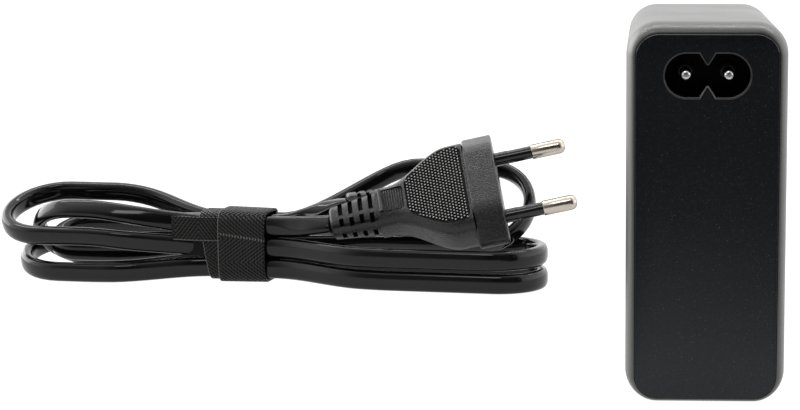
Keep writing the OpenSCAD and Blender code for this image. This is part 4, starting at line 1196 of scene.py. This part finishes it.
# %% Give the materials out
slot_of = {s["node"]: s["material_slot"] for s in frame["record"]["subparts"]}
for name, obj in frame["nodes"].items():
    obj.data.materials.clear()
    obj.data.materials.append(MATERIALS[slot_of[name]])
for side in ("left", "right"):
    look_of[f"inlet_boss_{side}"], look_of[f"inlet_pin_{side}"] = "sleeve", "steel_shell"
for name, look in look_of.items():
    bpy.data.objects[name].data.materials.append(MATERIALS[look])
print("pieces with a look:", len(look_of))

# %% [markdown]
# Some places of a piece differ from the rest. The windows of the reliefs are dull and darker inside, as
# painted shade. The upward broken edges of the end panels, the inlet bosses and the lower part of the bead
# round the inlet are lighter, as a painted highlight. The floor of the plug's sunken fields and the sides of
# its points are dull and darker, as painted shade, and the tops of its points lighter, as a painted
# highlight. The hook side of the tie is smooth and darker, partly as painted shade. Each gets a second
# material on the faces concerned.


# %% Second materials
def paint(name, look, test):
    """Gives the faces of a piece that pass the test a second material."""
    data = bpy.data.objects[name].data
    data.materials.append(MATERIALS[look])
    faces = [face for face in data.polygons if test(face)]
    for face in faces:
        face.material_index = len(data.materials) - 1
    print(name, "painted", len(faces), "faces with", look)


to_plug, to_connector = (LEAD @ PLUG).inverted(), (LEAD @ CONNECTOR).inverted()
bead_z = [v.co.z for v in inlet_bead.data.vertices]


def upwards(face):
    """How squarely a face looks out of the plug's broad faces."""
    return abs((to_plug.to_3x3() @ face.normal).z)


# Faces on the floor of the plug's sunken fields, which get painted shade.
def sunken(face):
    place = to_plug @ face.center
    return (
        (FIELD_X0 - 0.1) * MM < place.x < PLUG_L * MM
        and upwards(face) > 0.8
        and abs(place.z) < (face_height(place.x / MM) - FIELD_SINK * 0.6) * MM
        and abs(place.y) < (half_sizes(place.x / MM)[0] - FIELD_IN + 0.05) * MM
    )


def inside(place, length, w, t):
    """Whether a point in a strain relief's own frame lies under its skin, so in a window."""
    share = mix(TAPER, 1, place.x / MM / length)
    return max(abs(place.y) / (w / 2 * MM * share), abs(place.z) / (t / 2 * MM * share)) < 0.8


def broken_edge(face, side):
    """Whether a face of an end panel is in its broken edge and looks up."""
    out, place = face.normal.y * side, face.center.y * side
    return 0.05 < out < 0.97 and place > (FACE_Y - 0.18) * MM and face.normal.z > 0.2


# The end panels' broken edges, where they look up, get the lighter material: a painted highlight along the
# seam.
for name, side in (("inlet_plate", -1), ("output_plate", 1)):
    paint(name, "polished_edge", lambda f: broken_edge(f, side))
# The lower part of the bead gets the lighter material: a painted highlight on its lower lip.
paint("inlet_bead", "lower_lip", lambda f: f.center.z < mix(min(bead_z), max(bead_z), 0.45))
# The inlet bosses get it on all but their lower faces: a painted highlight.
for side in ("left", "right"):
    paint(f"inlet_boss_{side}", "polished_edge", lambda f: f.normal.z > -0.2)
# The tongue is the tie's smooth hook side; its darker colour is partly painted shade.
paint("tie_tongue", "hook_side", lambda f: True)
# The points' sides are duller and darker, as painted shade, and their tops lighter, as a painted highlight.
paint("plug_points", "dull_moulding", lambda f: True)
paint("plug_points", "worn_points", lambda f: upwards(f) > 0.85)
# The floor of the sunken fields is duller and darker: painted shade in the recess.
paint("plug_grip", "dull_moulding", sunken)
plug_sizes, connector_sizes = (RELIEF_L, RELIEF_W, RELIEF_T), (C_RELIEF, C_RELIEF_W, C_RELIEF_T)
# The insides of the reliefs' windows are duller and darker: painted shade.
paint("plug_relief", "dull_moulding", lambda f: inside(to_plug @ f.center, *plug_sizes))
paint("connector_relief", "dull_moulding", lambda f: inside(to_connector @ f.center, *connector_sizes))

# %% [markdown]
# The light is that of a packshot. The floor is a light table: white where the camera looks at it, but what
# it sends to the object is strong under and behind it and fades towards the front. So the end panel, which
# mirrors the floor in front of it, goes from dark grey at its foot to nearly black at its top. Soft lamps
# skim the top and the rims.


# %% Floor and light
floor = add("floor", "plane", size=6)
floor_look = material("floor_look", 0.12, 0.1, (0.8, 0.9), 40, 0.2, 0.0, 0, 0.05)
tree = floor_look.node_tree
where = add_node(tree, "TexCoord").outputs["Object"]
pool = ramp(tree, add_node(tree, "SeparateXYZ", {0: where}).outputs[1], -0.24, -0.055)
glow = ramp(tree, maths(tree, "POWER", pool, 2.0), 0.0, 1.0, 0.02, 1.0)
seen = add_node(tree, "LightPath").outputs["Is Camera Ray"]
shown = add_node(tree, "Mix", {"Factor": seen, "A": glow, "B": 1.0}).outputs["Result"]
put(tree, tree.nodes["Principled BSDF"], {"Emission Color": shown, "Emission Strength": 1.0})
floor.data.materials.append(floor_look)


def area(name, place, aim, size, power):
    light = bpy.data.lights.new(name, "AREA")
    light.shape = "RECTANGLE"
    light.size, light.size_y = size
    light.energy = power
    obj = bpy.data.objects.new(name, light)
    obj.location = place
    obj.rotation_euler = (Vector(aim) - Vector(place)).to_track_quat("-Z", "Y").to_euler()
    bpy.context.collection.objects.link(obj)


area("sky", (0, 0.3, 1.1), (0, 0, 0), (1.8, 1.0), 3)
area("strip", (0, 0.45, 1.0), (0, 0, 0), (1.8, 0.07), 6)
area("back", (0, 1.4, 0.6), (0, 0, 0.05), (2.4, 0.9), 3)
area("left", (-1.1, 0.7, 0.45), (0, 0, 0.04), (1.2, 0.9), 9)
area("front_top", (-0.25, -0.75, 1.0), (0, 0, 0.04), (0.5, 0.25), 2.5)

# %% [markdown]
# The surroundings are white where the camera looks at them, so the floor runs into a white background. What
# lights and mirrors in the black plastic is another thing: a studio that is bright overhead, behind and
# most of all at the sides, and dim in front, where the camera stands. One gradient over how far a ray goes
# to the front, and one over how far it goes to a side, make it.

# %% Surroundings
world = bpy.data.worlds.new("world")
bpy.context.scene.world = world
world.use_nodes = True
tree = world.node_tree
where = add_node(tree, "TexCoord").outputs["Generated"]
parts = add_node(tree, "SeparateXYZ", {0: where}).outputs
front = ramp(tree, parts[1], -0.95, -0.1, 0.03, 1.15, interpolation_type="SMOOTHSTEP")
sides = maths(tree, "MULTIPLY", maths(tree, "POWER", maths(tree, "ABSOLUTE", parts[0]), 2), 1.3)
seen = add_node(tree, "LightPath").outputs["Is Camera Ray"]
shown = blend(tree, seen, maths(tree, "ADD", front, sides), (1, 1, 1, 1))
put(tree, tree.nodes["Background"], {"Color": shown, "Strength": 1.0})
bpy.context.scene.view_settings.view_transform = "Standard"
print("world:", world.name)
